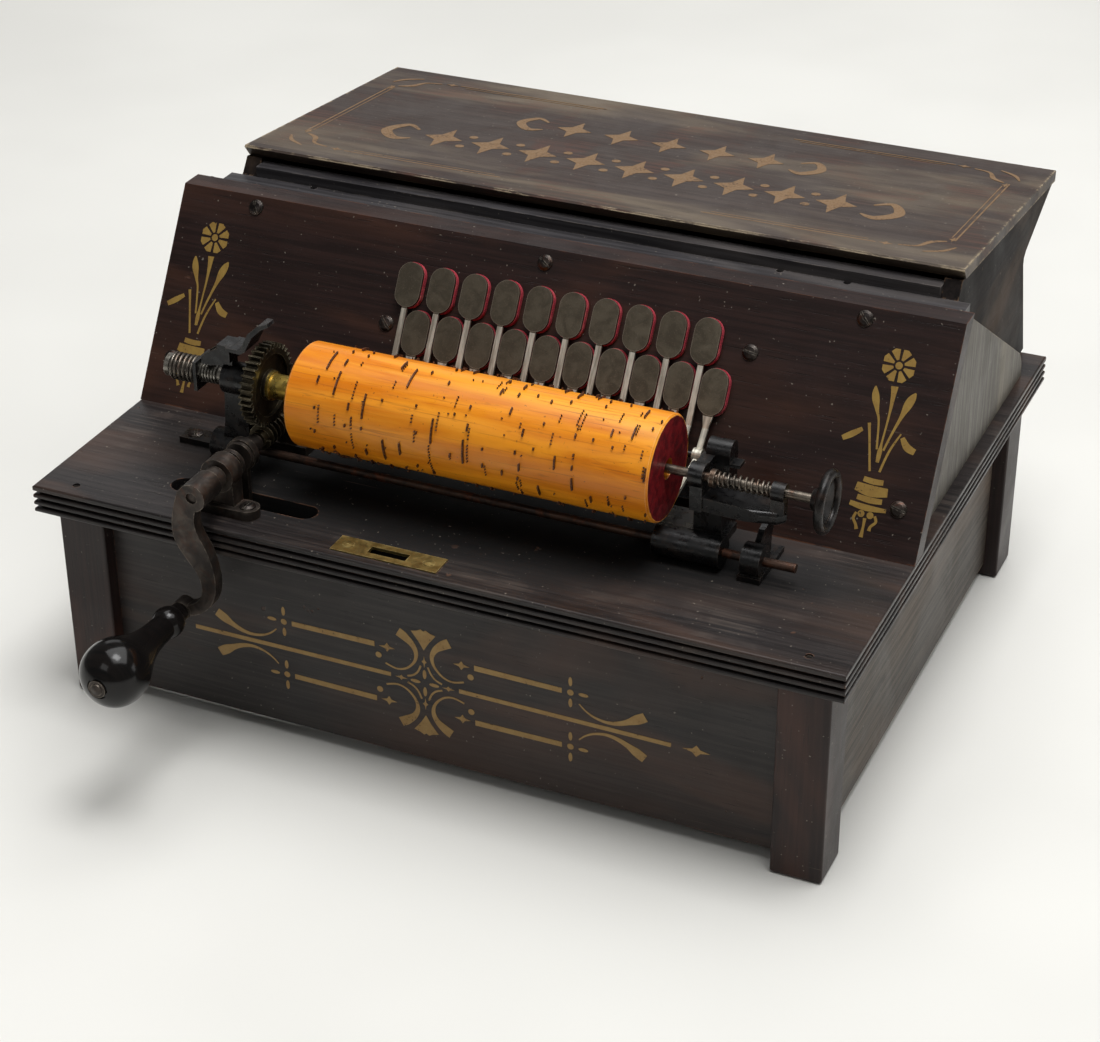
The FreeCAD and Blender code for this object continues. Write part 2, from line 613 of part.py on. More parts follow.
def left_bracket():
    """Cast bracket on the deck: bearing for the spindle above, bearing for the slide rod below."""
    z0 = DECK_TOP
    foot = box(-150.0, -112.0, -91.0, -81.0, z0, z0 + LEFT_FOOT_T)
    pad = box(-127.0, -110.5, -103.0, -81.0, z0, z0 + 4.0)
    boss = cyl_x(7.0, -127.0, -113.0, ROD_Y, ROD_Z)
    column = prism_y([(-123.0, z0 + 2), (-109.5, z0 + 2), (-107.6, 130.0), (-107.0, ROLLER_Z),
                      (-118.5, ROLLER_Z), (-119.5, 132.0)], -99.5, -88.5)
    bearing = cyl_x(7.4, -119.6, -106.2, ROLLER_Y, ROLLER_Z)
    lug = box(LEVER_X - 3.2, LEVER_X + 3.2, -97.0, -92.0, ROLLER_Z + 5.0, LEVER_Z)
    eye = cyl_y(3.2, -97.0, -92.0, LEVER_X, LEVER_Z)
    seat = box(SEAT_X0, SEAT_X0 + 1.6, -101.0, -86.5, 145.6, 159.6)
    seat_arm = box(SEAT_X0, -116.0, -89.4, -86.5, 146.5, 156.5)
    body = fused(foot, pad, boss, column, bearing, lug, eye, seat, seat_arm)
    holes = [cyl_x(MANDREL_R + RUN_FIT, -121, -105, ROLLER_Y, ROLLER_Z),
             cyl_x(5.1, SEAT_X0 - 1, SEAT_X0 + 3, ROLLER_Y, ROLLER_Z),
             cyl_x(ROD_R + RUN_FIT, -128, -100, ROD_Y, ROD_Z),
             cyl_x(4.6, -128, -125.6, ROD_Y, ROD_Z),
             cyl_y(1.5 + RUN_FIT, -98, -91, LEVER_X, LEVER_Z)]
    holes += [screw_hole(x, y, z0 + LEFT_FOOT_T) for x, y in LEFT_BRACKET_SCREWS]
    return body.cut(Part.makeCompound(holes))


def feed_lever():
    """Thumb lever whose nose rides over the feed thread; its blade curls up beside the wheel."""
    cheeks = []
    for y0, y1 in ((-99.4, -97.3), (-91.7, -89.6)):
        plate = prism_y([(-129.5, 159.0), (-129.5, 162.5), (-120.5, 168.6), (-115.0, 168.6), (-115.0, 162.0),
                         (-121.5, 159.6)], y0, y1)
        cheeks.append(plate)
    bridge = box(-129.5, -124.5, -99.4, -89.6, 159.0, 161.0)
    nose = prism_y([(-128.2, 159.5), (-124.8, 159.5), (-126.0, 157.6), (-127.0, 157.6)], -96.5, -92.5)
    top = box(-121.0, -114.0, -99.4, -89.6, 168.2, 170.0)
    blade = prism_y([(-116.0, 168.2), (-109.0, 168.0), (-106.4, 169.5), (-104.6, 173.0), (-102.6, 177.0),
                     (-98.6, 180.8), (-95.6, 182.2), (-96.2, 183.6), (-100.0, 182.6), (-104.4, 178.6),
                     (-106.8, 173.8), (-108.2, 170.6), (-110.2, 169.8), (-116.0, 170.0)], -100.6, -88.4)
    pin = cyl_y(1.5, -99.4, -89.6, LEVER_X, LEVER_Z)
    tapered = blade.cut(prism_z([(-104, -101), (-95, -101), (-95, -97.0)], 160, 190))
    tapered = tapered.cut(prism_z([(-104, -88), (-95, -92.0), (-95, -88)], 160, 190))
    return fused(cheeks[0], cheeks[1], bridge, nose, top, tapered, pin)


# ---------------------------------------------------------------- crank and bellows drive
def drive_worm():
    """Single-start right-hand worm, one gear pitch per turn, with a thread crest at the top over the axis."""
    lead = math.pi * GEAR_MODULE
    core_r = WORM_PITCH_R - 1.25
    crest_r = WORM_PITCH_R + 0.75
    turns = 5.5
    helix = Part.makeHelix(lead, lead * turns, core_r)
    profile = Part.Wire(Part.makePolygon([V(core_r - 0.4, 0, -0.8), V(crest_r, 0, -0.3), V(crest_r, 0, 0.3),
                                          V(core_r - 0.4, 0, 0.8), V(core_r - 0.4, 0, -0.8)]))
    thread = Part.Wire(helix).makePipeShell([profile], True, True)
    overrun = 1.6
    core = Part.makeCylinder(core_r, lead * turns + 2 * overrun, V(0, 0, -overrun))
    worm = core.fuse(thread).cut(Part.makeCylinder(SHAFT_R + 0.02, 40, V(0, 0, -10)))
    worm.rotate(V(0, 0, 0), V(1, 0, 0), -90)
    worm.translate(V(CRANK_X, ROLLER_Y - 2.75 * lead, CRANK_Z))
    return worm


def crankshaft():
    """Shaft from the crank arm to the rear bearing, with a two-web throw for the pitman, thrown down."""
    pin_z = CRANK_Z - THROW_R
    shapes = [cyl_y(BIG_SHAFT_R, ARM_Y0 + 1.0, WEB1[1], CRANK_X, CRANK_Z),
              cyl_y(5.2, -145.6, BOSS_Y0 - 0.3, CRANK_X, CRANK_Z),
              cyl_y(CRANK_PIN_R, WEB1[0] + 0.5, WEB2[1] - 0.5, CRANK_X, pin_z)]
    for y0, y1 in (WEB1, WEB2):
        shapes.append(cyl_y(6.5, y0, y1, CRANK_X, CRANK_Z))
        shapes.append(cyl_y(WEB_R, y0, y1, CRANK_X, pin_z))
        shapes.append(box(CRANK_X - 4.2, CRANK_X + 4.2, y0, y1, pin_z, CRANK_Z))
    rear = turned([(0, 0), (0, 4.2), (1.4, 4.2), (1.4, 7.4), (5.0, 7.4), (5.0, 4.8), (6.0, 4.9), (14.6, 3.9),
                   (14.6, SHAFT_R), (50.0, SHAFT_R), (50.0, 0)],
                  V(CRANK_X, WEB2[0] + 0.5, CRANK_Z), V(0, 1, 0))
    return fused(shapes[0], *shapes[1:], rear)


def front_bearing():
    """Cast pillow on the deck in front of the pitman slot."""
    boss = cyl_y(7.9, BOSS_Y0, BOSS_Y1, CRANK_X, CRANK_Z)
    pillar = prism_y([(-108.2, DECK_TOP + 2), (-92.8, DECK_TOP + 2), (-93.4, CRANK_Z), (-107.0, CRANK_Z)],
                     BOSS_Y0 + 1.0, BOSS_Y1)
    foot = box(-113.2, -87.8, -142.0, -131.4, DECK_TOP, DECK_TOP + FOOT_T)
    ends = [cyl_z(5.3, DECK_TOP, DECK_TOP + FOOT_T, x, -136.7) for x, _ in FRONT_BEARING_SCREWS]
    body = fused(boss, pillar, foot, *ends)
    holes = [cyl_y(BIG_SHAFT_R + RUN_FIT, BOSS_Y0 - 2, BOSS_Y1 + 2, CRANK_X, CRANK_Z)]
    holes += [screw_hole(x, y, DECK_TOP + FOOT_T) for x, y in FRONT_BEARING_SCREWS]
    return body.cut(Part.makeCompound(holes))


def rear_bearing():
    boss = cyl_y(6.4, -80.6, -72.6, CRANK_X, CRANK_Z)
    pillar = box(CRANK_X - 5.0, CRANK_X + 5.0, -79.6, -73.6, DECK_TOP, CRANK_Z)
    foot = box(CRANK_X - 14.0, CRANK_X + 10.0, -80.6, -72.6, DECK_TOP, DECK_TOP + FOOT_T)
    return fused(boss, pillar, foot).cut(cyl_y(SHAFT_R + RUN_FIT, -82, -71, CRANK_X, CRANK_Z))


def crank_arm():
    """Cast swan-neck arm hanging from its hub, with the riveted handle pin at its end."""
    left = [(-107.0, 131.7), (-110.8, 117.2), (-110.5, 108.1), (-106.1, 99.9), (-100.4, 92.0), (-98.6, 85.8),
            (-100.1, 79.6), (-104.8, 75.4), (-110.2, 74.0)]
    right = [(-95.0, 131.0), (-99.1, 122.7), (-99.4, 114.4), (-95.5, 106.1), (-92.2, 95.8), (-91.6, 86.6),
             (-93.9, 78.5), (-98.3, 73.2), (-104.1, 69.9), (-110.2, 68.4)]
    bar = smooth_outline([left, right], ARM_Y0, ARM_Y1, [(left[0], right[0]), (left[-1], right[-1])])
    hub = cyl_y(6.4, ARM_Y0, HUB_Y1, CRANK_X, CRANK_Z)
    eye = cyl_y(4.6, ARM_Y0 - 1.0, ARM_Y1, KNOB_X, KNOB_Z)
    pin = cyl_y(PIN_R, KNOB_FRONT_Y - 0.4, ARM_Y1, KNOB_X, KNOB_Z)
    washer = cyl_y(4.0, KNOB_FRONT_Y - 0.5, KNOB_FRONT_Y + 0.6, KNOB_X, KNOB_Z)
    rivet = turned([(0, 0), (0, 2.8), (0.6, 2.5), (1.2, 0)],
                   V(KNOB_X, KNOB_FRONT_Y - 0.4, KNOB_Z), V(0, -1, 0))
    cast = fused(bar, hub, eye).cut(cyl_y(BIG_SHAFT_R + 0.05, ARM_Y0 + 0.9, HUB_Y1 + 1, CRANK_X, CRANK_Z))
    cast = cast.cut(cyl_y(2.6, ARM_Y0 - 1, ARM_Y0 + 3, CRANK_X, CRANK_Z))
    return fused(cast, pin, washer, rivet)


def crank_knob():
    """Turned pear-shaped handle: ball in front, slim neck and a bead beside the arm."""
    length = KNOB_BACK_Y - KNOB_FRONT_Y
    outline = [(0.0, 4.8), (1.2, 7.6), (3.6, 10.9), (7.0, 13.4), (11.0, 14.6), (15.0, 14.8), (19.5, 14.0),
               (24.5, 11.9), (30.0, 9.4), (36.0, 7.4), (42.5, 6.3), (48.0, 5.9), (51.6, 5.8)]
    curve = Part.BSplineCurve()
    curve.interpolate([V(r, 0, a) for a, r in outline])
    bead = Part.Arc(V(5.7, 0, 52.0), V(7.2, 0, 56.6), V(5.6, 0, 61.0)).toShape()
    bore = PIN_R + RUN_FIT
    corners = [V(5.6, 0, 61.0), V(4.6, 0, 62.6), V(4.4, 0, length), V(bore, 0, length), V(bore, 0, 0.9),
               V(4.6, 0, 0.9), V(4.8, 0, 0.0)]
    edges = [curve.toShape(), Part.makeLine(V(5.8, 0, 51.6), V(5.7, 0, 52.0)), bead]
    edges += [Part.makeLine(start, end) for start, end in zip(corners, corners[1:])]
    face = Part.Face(Part.Wire(Part.__sortEdges__(edges)))
    knob = face.revolve(V(0, 0, 0), V(0, 0, 1), 360)
    turn = FreeCAD.Rotation(V(0, 0, 1), V(0, 1, 0))
    knob.Placement = FreeCAD.Placement(V(KNOB_X, KNOB_FRONT_Y, KNOB_Z), turn)
    return knob


def pitman():
    """Flat link hanging from the throw, through the deck slot, to the feeder."""
    top = CRANK_Z - THROW_R
    foot = top - PITMAN_LENGTH
    y0, y1 = PITMAN_Y
    link = fused(cyl_y(4.8, y0, y1, CRANK_X, top), cyl_y(4.8, y0, y1, CRANK_X, foot),
                 box(CRANK_X - 3.6, CRANK_X + 3.6, y0, y1, foot, top))
    holes = [cyl_y(CRANK_PIN_R + RUN_FIT, y0 - 1, y1 + 1, CRANK_X, top),
             cyl_y(2.6, y0 - 1, y1 + 1, CRANK_X, foot)]
    return link.cut(Part.makeCompound(holes))


# ---------------------------------------------------------------- bellows under the deck
def wind_board():
    return box(-150.0, 150.0, -110.0, 118.0, WIND_BOARD_Z0, DECK_TOP - DECK_T)


def hang(shape, opening):
    """Turns a bellows board drawn shut down to its open place about the bellows hinge."""
    moved = shape.copy()
    moved.rotate(V(0, BELLOWS_HINGE_Y, BELLOWS_HINGE_Z), V(1, 0, 0), opening)
    return moved


def bellows_board(x0, x1, opening, with_pin):
    board = box(x0, x1, BELLOWS_FRONT_Y, BELLOWS_HINGE_Y - 1.0, 76.0, 84.0)
    bead = cyl_x(0.8, x0, x1, BELLOWS_HINGE_Y, BELLOWS_HINGE_Z)
    strip = box(x0, x1, BELLOWS_HINGE_Y - 4.0, BELLOWS_HINGE_Y + 0.6, 83.0, BELLOWS_HINGE_Z)
    shapes = [bead, strip]
    if with_pin:
        shapes.append(cyl_y(2.4, -121.0, BELLOWS_FRONT_Y + 8, CRANK_X, 80.0))
    return hang(fused(board, *shapes), opening)


def bellows_cloth(x0, x1, opening):
    """Gusset between the wind board and the hanging board, as one folded skin open inside."""
    def skin(front, rear, ends, lift):
        a = math.radians(opening)

        def low(y):
            dy = y - BELLOWS_HINGE_Y
            dz = 84.2 + lift - BELLOWS_HINGE_Z
            return (BELLOWS_HINGE_Y + dy * math.cos(a) - dz * math.sin(a),
                    BELLOWS_HINGE_Z + dy * math.sin(a) + dz * math.cos(a))

        top = WIND_BOARD_Z0 - 0.1
        corner = low(front)
        mid = (0.5 * (front + corner[0]) + 6.0, 0.5 * (top + corner[1]))
        rear_low = low(rear)
        return prism_x([(rear_low[0], top), (front, top), mid, corner, rear_low], x0 + ends, x1 - ends)

    outer = skin(-107.0, 100.0, 2.0, 0.0)
    inner = skin(-105.2, 96.0, 3.8, -3.0)
    tall = prism_x([(94.0, WIND_BOARD_Z0 + 1), (-104.8, WIND_BOARD_Z0 + 1), (-104.8, WIND_BOARD_Z0 - 2),
                    (94.0, WIND_BOARD_Z0 - 2)], x0 + 4.2, x1 - 4.2)
    return outer.cut(inner.fuse(tall))


# ---------------------------------------------------------------- slide and arbor on the right
def slide_rod():
    return cyl_x(ROD_R, -123.0, 148.0, ROD_Y, ROD_Z)


def roller_frame():
    """Casting clamped on the slide rod that carries the two lugs of the arbor."""
    sleeve = cyl_x(7.0, 86.0, 116.0, ROD_Y, ROD_Z)
    rib = box(86.0, 116.0, ROD_Y, -80.0, 121.5, 125.2)
    tongue = fused(box(78.0, 98.0, -88.0, -76.0, 121.5, 124.5), cyl_z(6.0, 121.5, 124.5, 78.0, -82.0))
    upright = fused(box(103.0, 113.5, -84.5, -74.5, 121.5, 158.0), cyl_x(5.0, 103.0, 113.5, -79.5, 158.0))
    web = prism_y([(101.0, 122.0), (113.5, 122.0), (113.5, 142.0), (101.0, 142.0)], -92.0, -83.0)
    left_lug = fused(cyl_x(5.6, 100.6, 107.0, ROLLER_Y, ROLLER_Z),
                     box(101.6, 107.0, ROLLER_Y, -83.0, 147.4, 157.4),
                     box(101.6, 107.0, -99.0, -86.0, 138.0, ROLLER_Z))
    sweep = prism_z([(104.0, -98.0), (132.0, -99.5), (139.5, -98.0), (142.5, -94.5), (141.5, -90.0),
                     (134.0, -85.5), (113.0, -80.0), (104.0, -80.0)], 138.0, 144.2)
    rims = [e for e in sweep.Edges if e.BoundBox.ZLength < 0.01 and e.BoundBox.XMin > 104.5]
    sweep = sweep.makeFillet(2.2, rims)
    right_lug = fused(cyl_x(4.0, 136.2, 142.0, ROLLER_Y, ROLLER_Z),
                      box(136.2, 142.0, -97.0, -92.0, 143.0, ROLLER_Z))
    tab = box(112.0, 118.0, -84.4, -78.4, 153.2, 154.8)
    body = fused(sleeve, rib, tongue, upright, web, left_lug, sweep, right_lug, tab)
    holes = [cyl_x(ROD_R + 0.02, 84, 118, ROD_Y, ROD_Z),
             cyl_x(ARBOR_R + RUN_FIT, 99, 144, ROLLER_Y, ROLLER_Z)]
    return body.cut(Part.makeCompound(holes))


def right_bracket():
    """Deck bracket that guides the right end of the slide rod."""
    foot = box(124.6, 134.8, -102.4, -72.0, DECK_TOP, DECK_TOP + 2.6)
    boss = cyl_x(7.2, 125.5, 134.0, ROD_Y, ROD_Z)
    pillar = box(125.5, 134.0, -101.0, -90.0, DECK_TOP, ROD_Z)
    web = prism_x([(-91.0, DECK_TOP + 2), (-91.0, 124.0), (-86.0, 128.0), (-79.0, 129.4), (-73.4, 127.0),
                   (-76.4, 121.0), (-77.0, DECK_TOP + 2)], 128.0, 130.6)
    return fused(foot, boss, pillar, web).cut(cyl_x(ROD_R + RUN_FIT, 124, 136, ROD_Y, ROD_Z))


def arbor():
    """Steel spindle that holds the right end of the roller, with its spring collar."""
    near, far, length = COLLAR_X0 - ARBOR_X0, COLLAR_X1 - ARBOR_X0, ARBOR_X1 - ARBOR_X0
    outline = [(0, 0), (0, ARBOR_R - 1.0), (1.2, ARBOR_R), (near, ARBOR_R), (near, 3.9), (far, 3.9),
               (far, ARBOR_R), (length, ARBOR_R), (length, 0)]
    return turned(outline, V(ARBOR_X0, ROLLER_Y, ROLLER_Z), V(1, 0, 0))


def arbor_knob():
    """Ring-shaped pull knob with a dished face, screwed on the end of the spindle."""
    rim = Part.makeTorus(11.7, 2.1, V(159.6, ROLLER_Y, ROLLER_Z), V(1, 0, 0))
    dish = turned([(0, ARBOR_R + 0.02), (0, 4.2), (2.4, 5.6), (4.6, 11.2), (6.0, 11.2),
                   (6.0, ARBOR_R + 0.02)],
                  V(153.4, ROLLER_Y, ROLLER_Z), V(1, 0, 0))
    hollow = turned([(0, 0), (0, 3.2), (3.4, 9.4), (5.0, 9.4), (5.0, 0)],
                    V(156.4, ROLLER_Y, ROLLER_Z), V(1, 0, 0))
    return fused(rim, dish).cut(hollow)


# ---------------------------------------------------------------- all loose screws
def iron_screws():
    turns = random.Random(5)
    screws = [on_slope(round_head_screw(u, v, 0, turns.uniform(0, 180))) for u, v in BOARD_SCREWS]
    screws += [cyl_z(NAIL_R, DECK_TOP - 9.5, DECK_TOP - 0.7, x, y) for x, y in DECK_NAILS]
    screws += [round_head_screw(x, y, DECK_TOP + FOOT_T, turns.uniform(0, 180))
               for x, y in FRONT_BEARING_SCREWS]
    screws += [round_head_screw(x, y, DECK_TOP + LEFT_FOOT_T, turns.uniform(0, 180))
               for x, y in LEFT_BRACKET_SCREWS]
    return screws


# ---------------------------------------------------------------- the whole organ
def build():
    os.makedirs("parts", exist_ok=True)
    front_panel, back_panel, side_panels = base_panels()
    write("deck_board", reeded_deck())
    write("lock_plate", *lock_plate())
    write("corner_posts", *[corner_post(side, end) for side in (-1, 1) for end in (-1, 1)])
    write("base_front_panel", front_panel)
    write("base_rear_panels", back_panel, *side_panels)
    write("valve_board", valve_board())
    write("side_cheeks", side_cheek(-1), side_cheek(1))
    write("lid_side_boards", lid_side_board(-1), lid_side_board(1))
    write("lid_top_board", lid_top_board())
    write("lid_back_board", lid_back_board())
    write("lid_rails", ledge_rail(), lid_front_rail())
    write("reed_pan", reed_pan())
    write("brass_reeds", *brass_reeds())
    write("key_rail", *key_rail())
    for i in range(KEY_COUNT):
        write("key_%02d" % (i + 1), key_steel(i), key_felt(i))
    write("roller", roller())
    write("roller_pins", *roller_pins())
    write("drive_gear", drive_gear())
    write("gear_hub", gear_hub())
    write("mandrel", mandrel())
    write("feed_spring", coil(FEED_WIRE_R, FEED_COIL_R, MANDREL_X0 + 2.4, SEAT_X0 - 0.1, 6))
    write("left_bracket", left_bracket())
    write("feed_lever", feed_lever())
    write("drive_worm", drive_worm())
    write("crankshaft", crankshaft())
    write("crank_bearings", front_bearing(), rear_bearing())
    write("crank_arm", crank_arm())
    write("crank_knob", crank_knob())
    write("pitman", pitman())
    write("wind_board", wind_board())
    write("feeder_board", bellows_board(-150.0, -4.0, FEEDER_OPEN, True))
    write("feeder_cloth", bellows_cloth(-150.0, -4.0, FEEDER_OPEN))
    write("reservoir_board", bellows_board(4.0, 150.0, RESERVOIR_OPEN, False))
    write("reservoir_cloth", bellows_cloth(4.0, 150.0, RESERVOIR_OPEN))
    write("slide_rod", slide_rod())
    write("roller_frame", roller_frame())
    write("right_bracket", right_bracket())
    write("arbor", arbor())
    write("arbor_knob", arbor_knob())
    write("arbor_spring", coil(ARBOR_WIRE_R, ARBOR_COIL_R, SPRING_X0, SPRING_X1, 11))
    write("iron_screws", *iron_screws())


build()
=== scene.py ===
import bmesh
import bpy
import math
import random
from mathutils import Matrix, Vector


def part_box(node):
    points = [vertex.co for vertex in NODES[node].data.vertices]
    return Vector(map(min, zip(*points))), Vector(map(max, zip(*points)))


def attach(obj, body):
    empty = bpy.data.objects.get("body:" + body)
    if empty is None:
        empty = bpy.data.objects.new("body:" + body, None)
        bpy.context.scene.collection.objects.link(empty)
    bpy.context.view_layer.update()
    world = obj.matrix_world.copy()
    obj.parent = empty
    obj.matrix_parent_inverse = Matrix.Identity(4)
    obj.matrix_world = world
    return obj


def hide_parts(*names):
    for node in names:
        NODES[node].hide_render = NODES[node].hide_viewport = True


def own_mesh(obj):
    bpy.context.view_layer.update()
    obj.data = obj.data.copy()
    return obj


# Looks for a hand-cranked roller organ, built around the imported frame. The scene is in metres; numbers that
# go through place(), on_board() or MM are in mm.
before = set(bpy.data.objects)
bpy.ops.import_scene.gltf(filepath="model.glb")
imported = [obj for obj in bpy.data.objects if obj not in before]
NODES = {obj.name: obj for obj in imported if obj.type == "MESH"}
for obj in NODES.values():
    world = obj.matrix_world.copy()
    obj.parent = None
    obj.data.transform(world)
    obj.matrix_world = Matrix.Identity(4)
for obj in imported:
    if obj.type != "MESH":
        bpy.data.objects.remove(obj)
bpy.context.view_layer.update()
MM = 0.001
DECK_LOW, DECK_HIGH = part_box("deck_board")
DECK_MID_Y = 0.5 * (DECK_LOW.y + DECK_HIGH.y)
SLOPE_FOOT = (-62.0, 111.0)
SLOPE_HEAD = (-8.6, 199.7)
SLOPE_LEAN = math.atan2(SLOPE_HEAD[1] - SLOPE_FOOT[1], SLOPE_HEAD[0] - SLOPE_FOOT[0])
ROLLER_YZ = (-94.5, 152.6)
ROLLER_R = 23.3
KEY_COUNT = 20
KEY_PITCH = 7.95
KEY_FIRST_X = -63.3
PANEL_FACE_Y = -137.7
FRONT_ORNAMENT = (-4.0, 47.0)
RED_PAINT_R = 22.9
FELT_TOP = 2.6
FAN_ARM_END = 44.4
LONG_ARM_END = 65.3
# Middle and reach of the painted shade that darkens the deck under the roller.
ROLLER_SHADE_MIDDLE = (4.0, -92.0, 0.0)
ROLLER_SHADE_REACH = (0.165, 0.050)


def place(x, y, z):
    """A point given in mm about the middle of the deck, with Z up from the table."""
    return Vector((x * MM, y * MM + DECK_MID_Y, z * MM))


def on_board(u, v, w):
    """A point on the sloping board: u across, v up the slope, w off its face, in mm."""
    cos, sin = math.cos(SLOPE_LEAN), math.sin(SLOPE_LEAN)
    return place(u, SLOPE_FOOT[0] + v * cos - w * sin, SLOPE_FOOT[1] + v * sin + w * cos)


# ------------------------------------------------------------------ material building
def srgb(red, green, blue):
    """An ordinary 0-255 colour as the linear one that shaders take."""
    def linear(value):
        value /= 255.0
        return value / 12.92 if value <= 0.04045 else ((value + 0.055) / 1.055) ** 2.4
    return linear(red), linear(green), linear(blue), 1.0


class Finish:
    """One material, with short calls that add the nodes it is made of."""

    def __init__(self, name, rough=0.5, metal=0.0, coat=0.0, coat_rough=0.1, sheen=0.0, specular=0.5):
        self.material = bpy.data.materials.new(name)
        self.material.use_nodes = True
        self.tree = self.material.node_tree
        self.shader = self.tree.nodes["Principled BSDF"]
        for socket, value in (("Roughness", rough), ("Metallic", metal), ("Coat Weight", coat),
                              ("Coat Roughness", coat_rough), ("Sheen Weight", sheen),
                              ("Specular IOR Level", specular)):
            self.shader.inputs[socket].default_value = value
        self.point = self.tree.nodes.new("ShaderNodeTexCoord").outputs["Object"]
        self.normal = None

    def put(self, socket, value):
        if isinstance(value, bpy.types.NodeSocket):
            self.tree.links.new(value, socket)
        else:
            socket.default_value = value

    def node(self, kind, inputs=(), **settings):
        made = self.tree.nodes.new(kind)
        for name, value in settings.items():
            setattr(made, name, value)
        for key, value in dict(inputs).items():
            self.put(made.inputs[key], value)
        return made

    def calc(self, operation, a, b=0.0, clamp=False):
        return self.node("ShaderNodeMath", {0: a, 1: b}, operation=operation, use_clamp=clamp).outputs[0]

    def stretched(self, scale, turn=(0.0, 0.0, 0.0), vector=None):
        return self.node("ShaderNodeMapping", {"Vector": vector or self.point, "Scale": scale,
                                               "Rotation": turn}).outputs[0]

    def noise(self, scale, detail=4.0, rough=0.55, warp=0.0, turn=(0.0, 0.0, 0.0), vector=None):
        """Noise with this many blotches per metre along x, y and z."""
        if isinstance(scale, (int, float)):
            scale = (scale, scale, scale)
        mapped = self.stretched(scale, turn, vector)
        return self.node("ShaderNodeTexNoise", {"Vector": mapped, "Scale": 1.0, "Detail": detail,
                                                "Roughness": rough, "Distortion": warp}).outputs[0]

    def step(self, value, low, high, out=(0.0, 1.0)):
        """0 under low, 1 over high, and smooth between."""
        return self.node("ShaderNodeMapRange", {"Value": value, "From Min": low, "From Max": high,
                                                "To Min": out[0], "To Max": out[1]},
                         interpolation_type="SMOOTHSTEP", clamp=True).outputs[0]

    def mix(self, factor, a, b):
        made = self.node("ShaderNodeMix", {0: factor}, data_type="RGBA")
        self.put(made.inputs[6], a)
        self.put(made.inputs[7], b)
        return made.outputs[2]

    def edge(self, radius):
        """How near a point is to an edge: 0 on flat faces, rising to 1 within radius of an edge."""
        rounded = self.node("ShaderNodeBevel", {"Radius": radius}, samples=6).outputs[0]
        flat = self.node("ShaderNodeNewGeometry").outputs["True Normal"]
        dot = self.node("ShaderNodeVectorMath", {0: rounded, 1: flat}, operation="DOT_PRODUCT")
        return self.step(self.calc("SUBTRACT", 1.0, dot.outputs["Value"]), 0.004, 0.12)

    def axis(self, index, vector=None):
        return self.node("ShaderNodeSeparateXYZ", {0: vector or self.point}).outputs[index]

    def bump(self, height, distance, strength=1.0):
        made = self.node("ShaderNodeBump", {"Height": height, "Distance": distance, "Strength": strength})
        if self.normal is not None:
            self.tree.links.new(self.normal, made.inputs["Normal"])
        self.normal = made.outputs[0]

    def done(self, colour, rough=None, metal=None):
        self.put(self.shader.inputs["Base Color"], colour)
        if rough is not None:
            self.put(self.shader.inputs["Roughness"], rough)
        if metal is not None:
            self.put(self.shader.inputs["Metallic"], metal)
        if self.normal is not None:
            self.put(self.shader.inputs["Normal"], self.normal)
        return self.material


def along(direction, length, width):
    """Noise scales for marks that run along one axis: blotches per metre along it and across it."""
    return tuple(length if letter == direction else width for letter in "xyz")


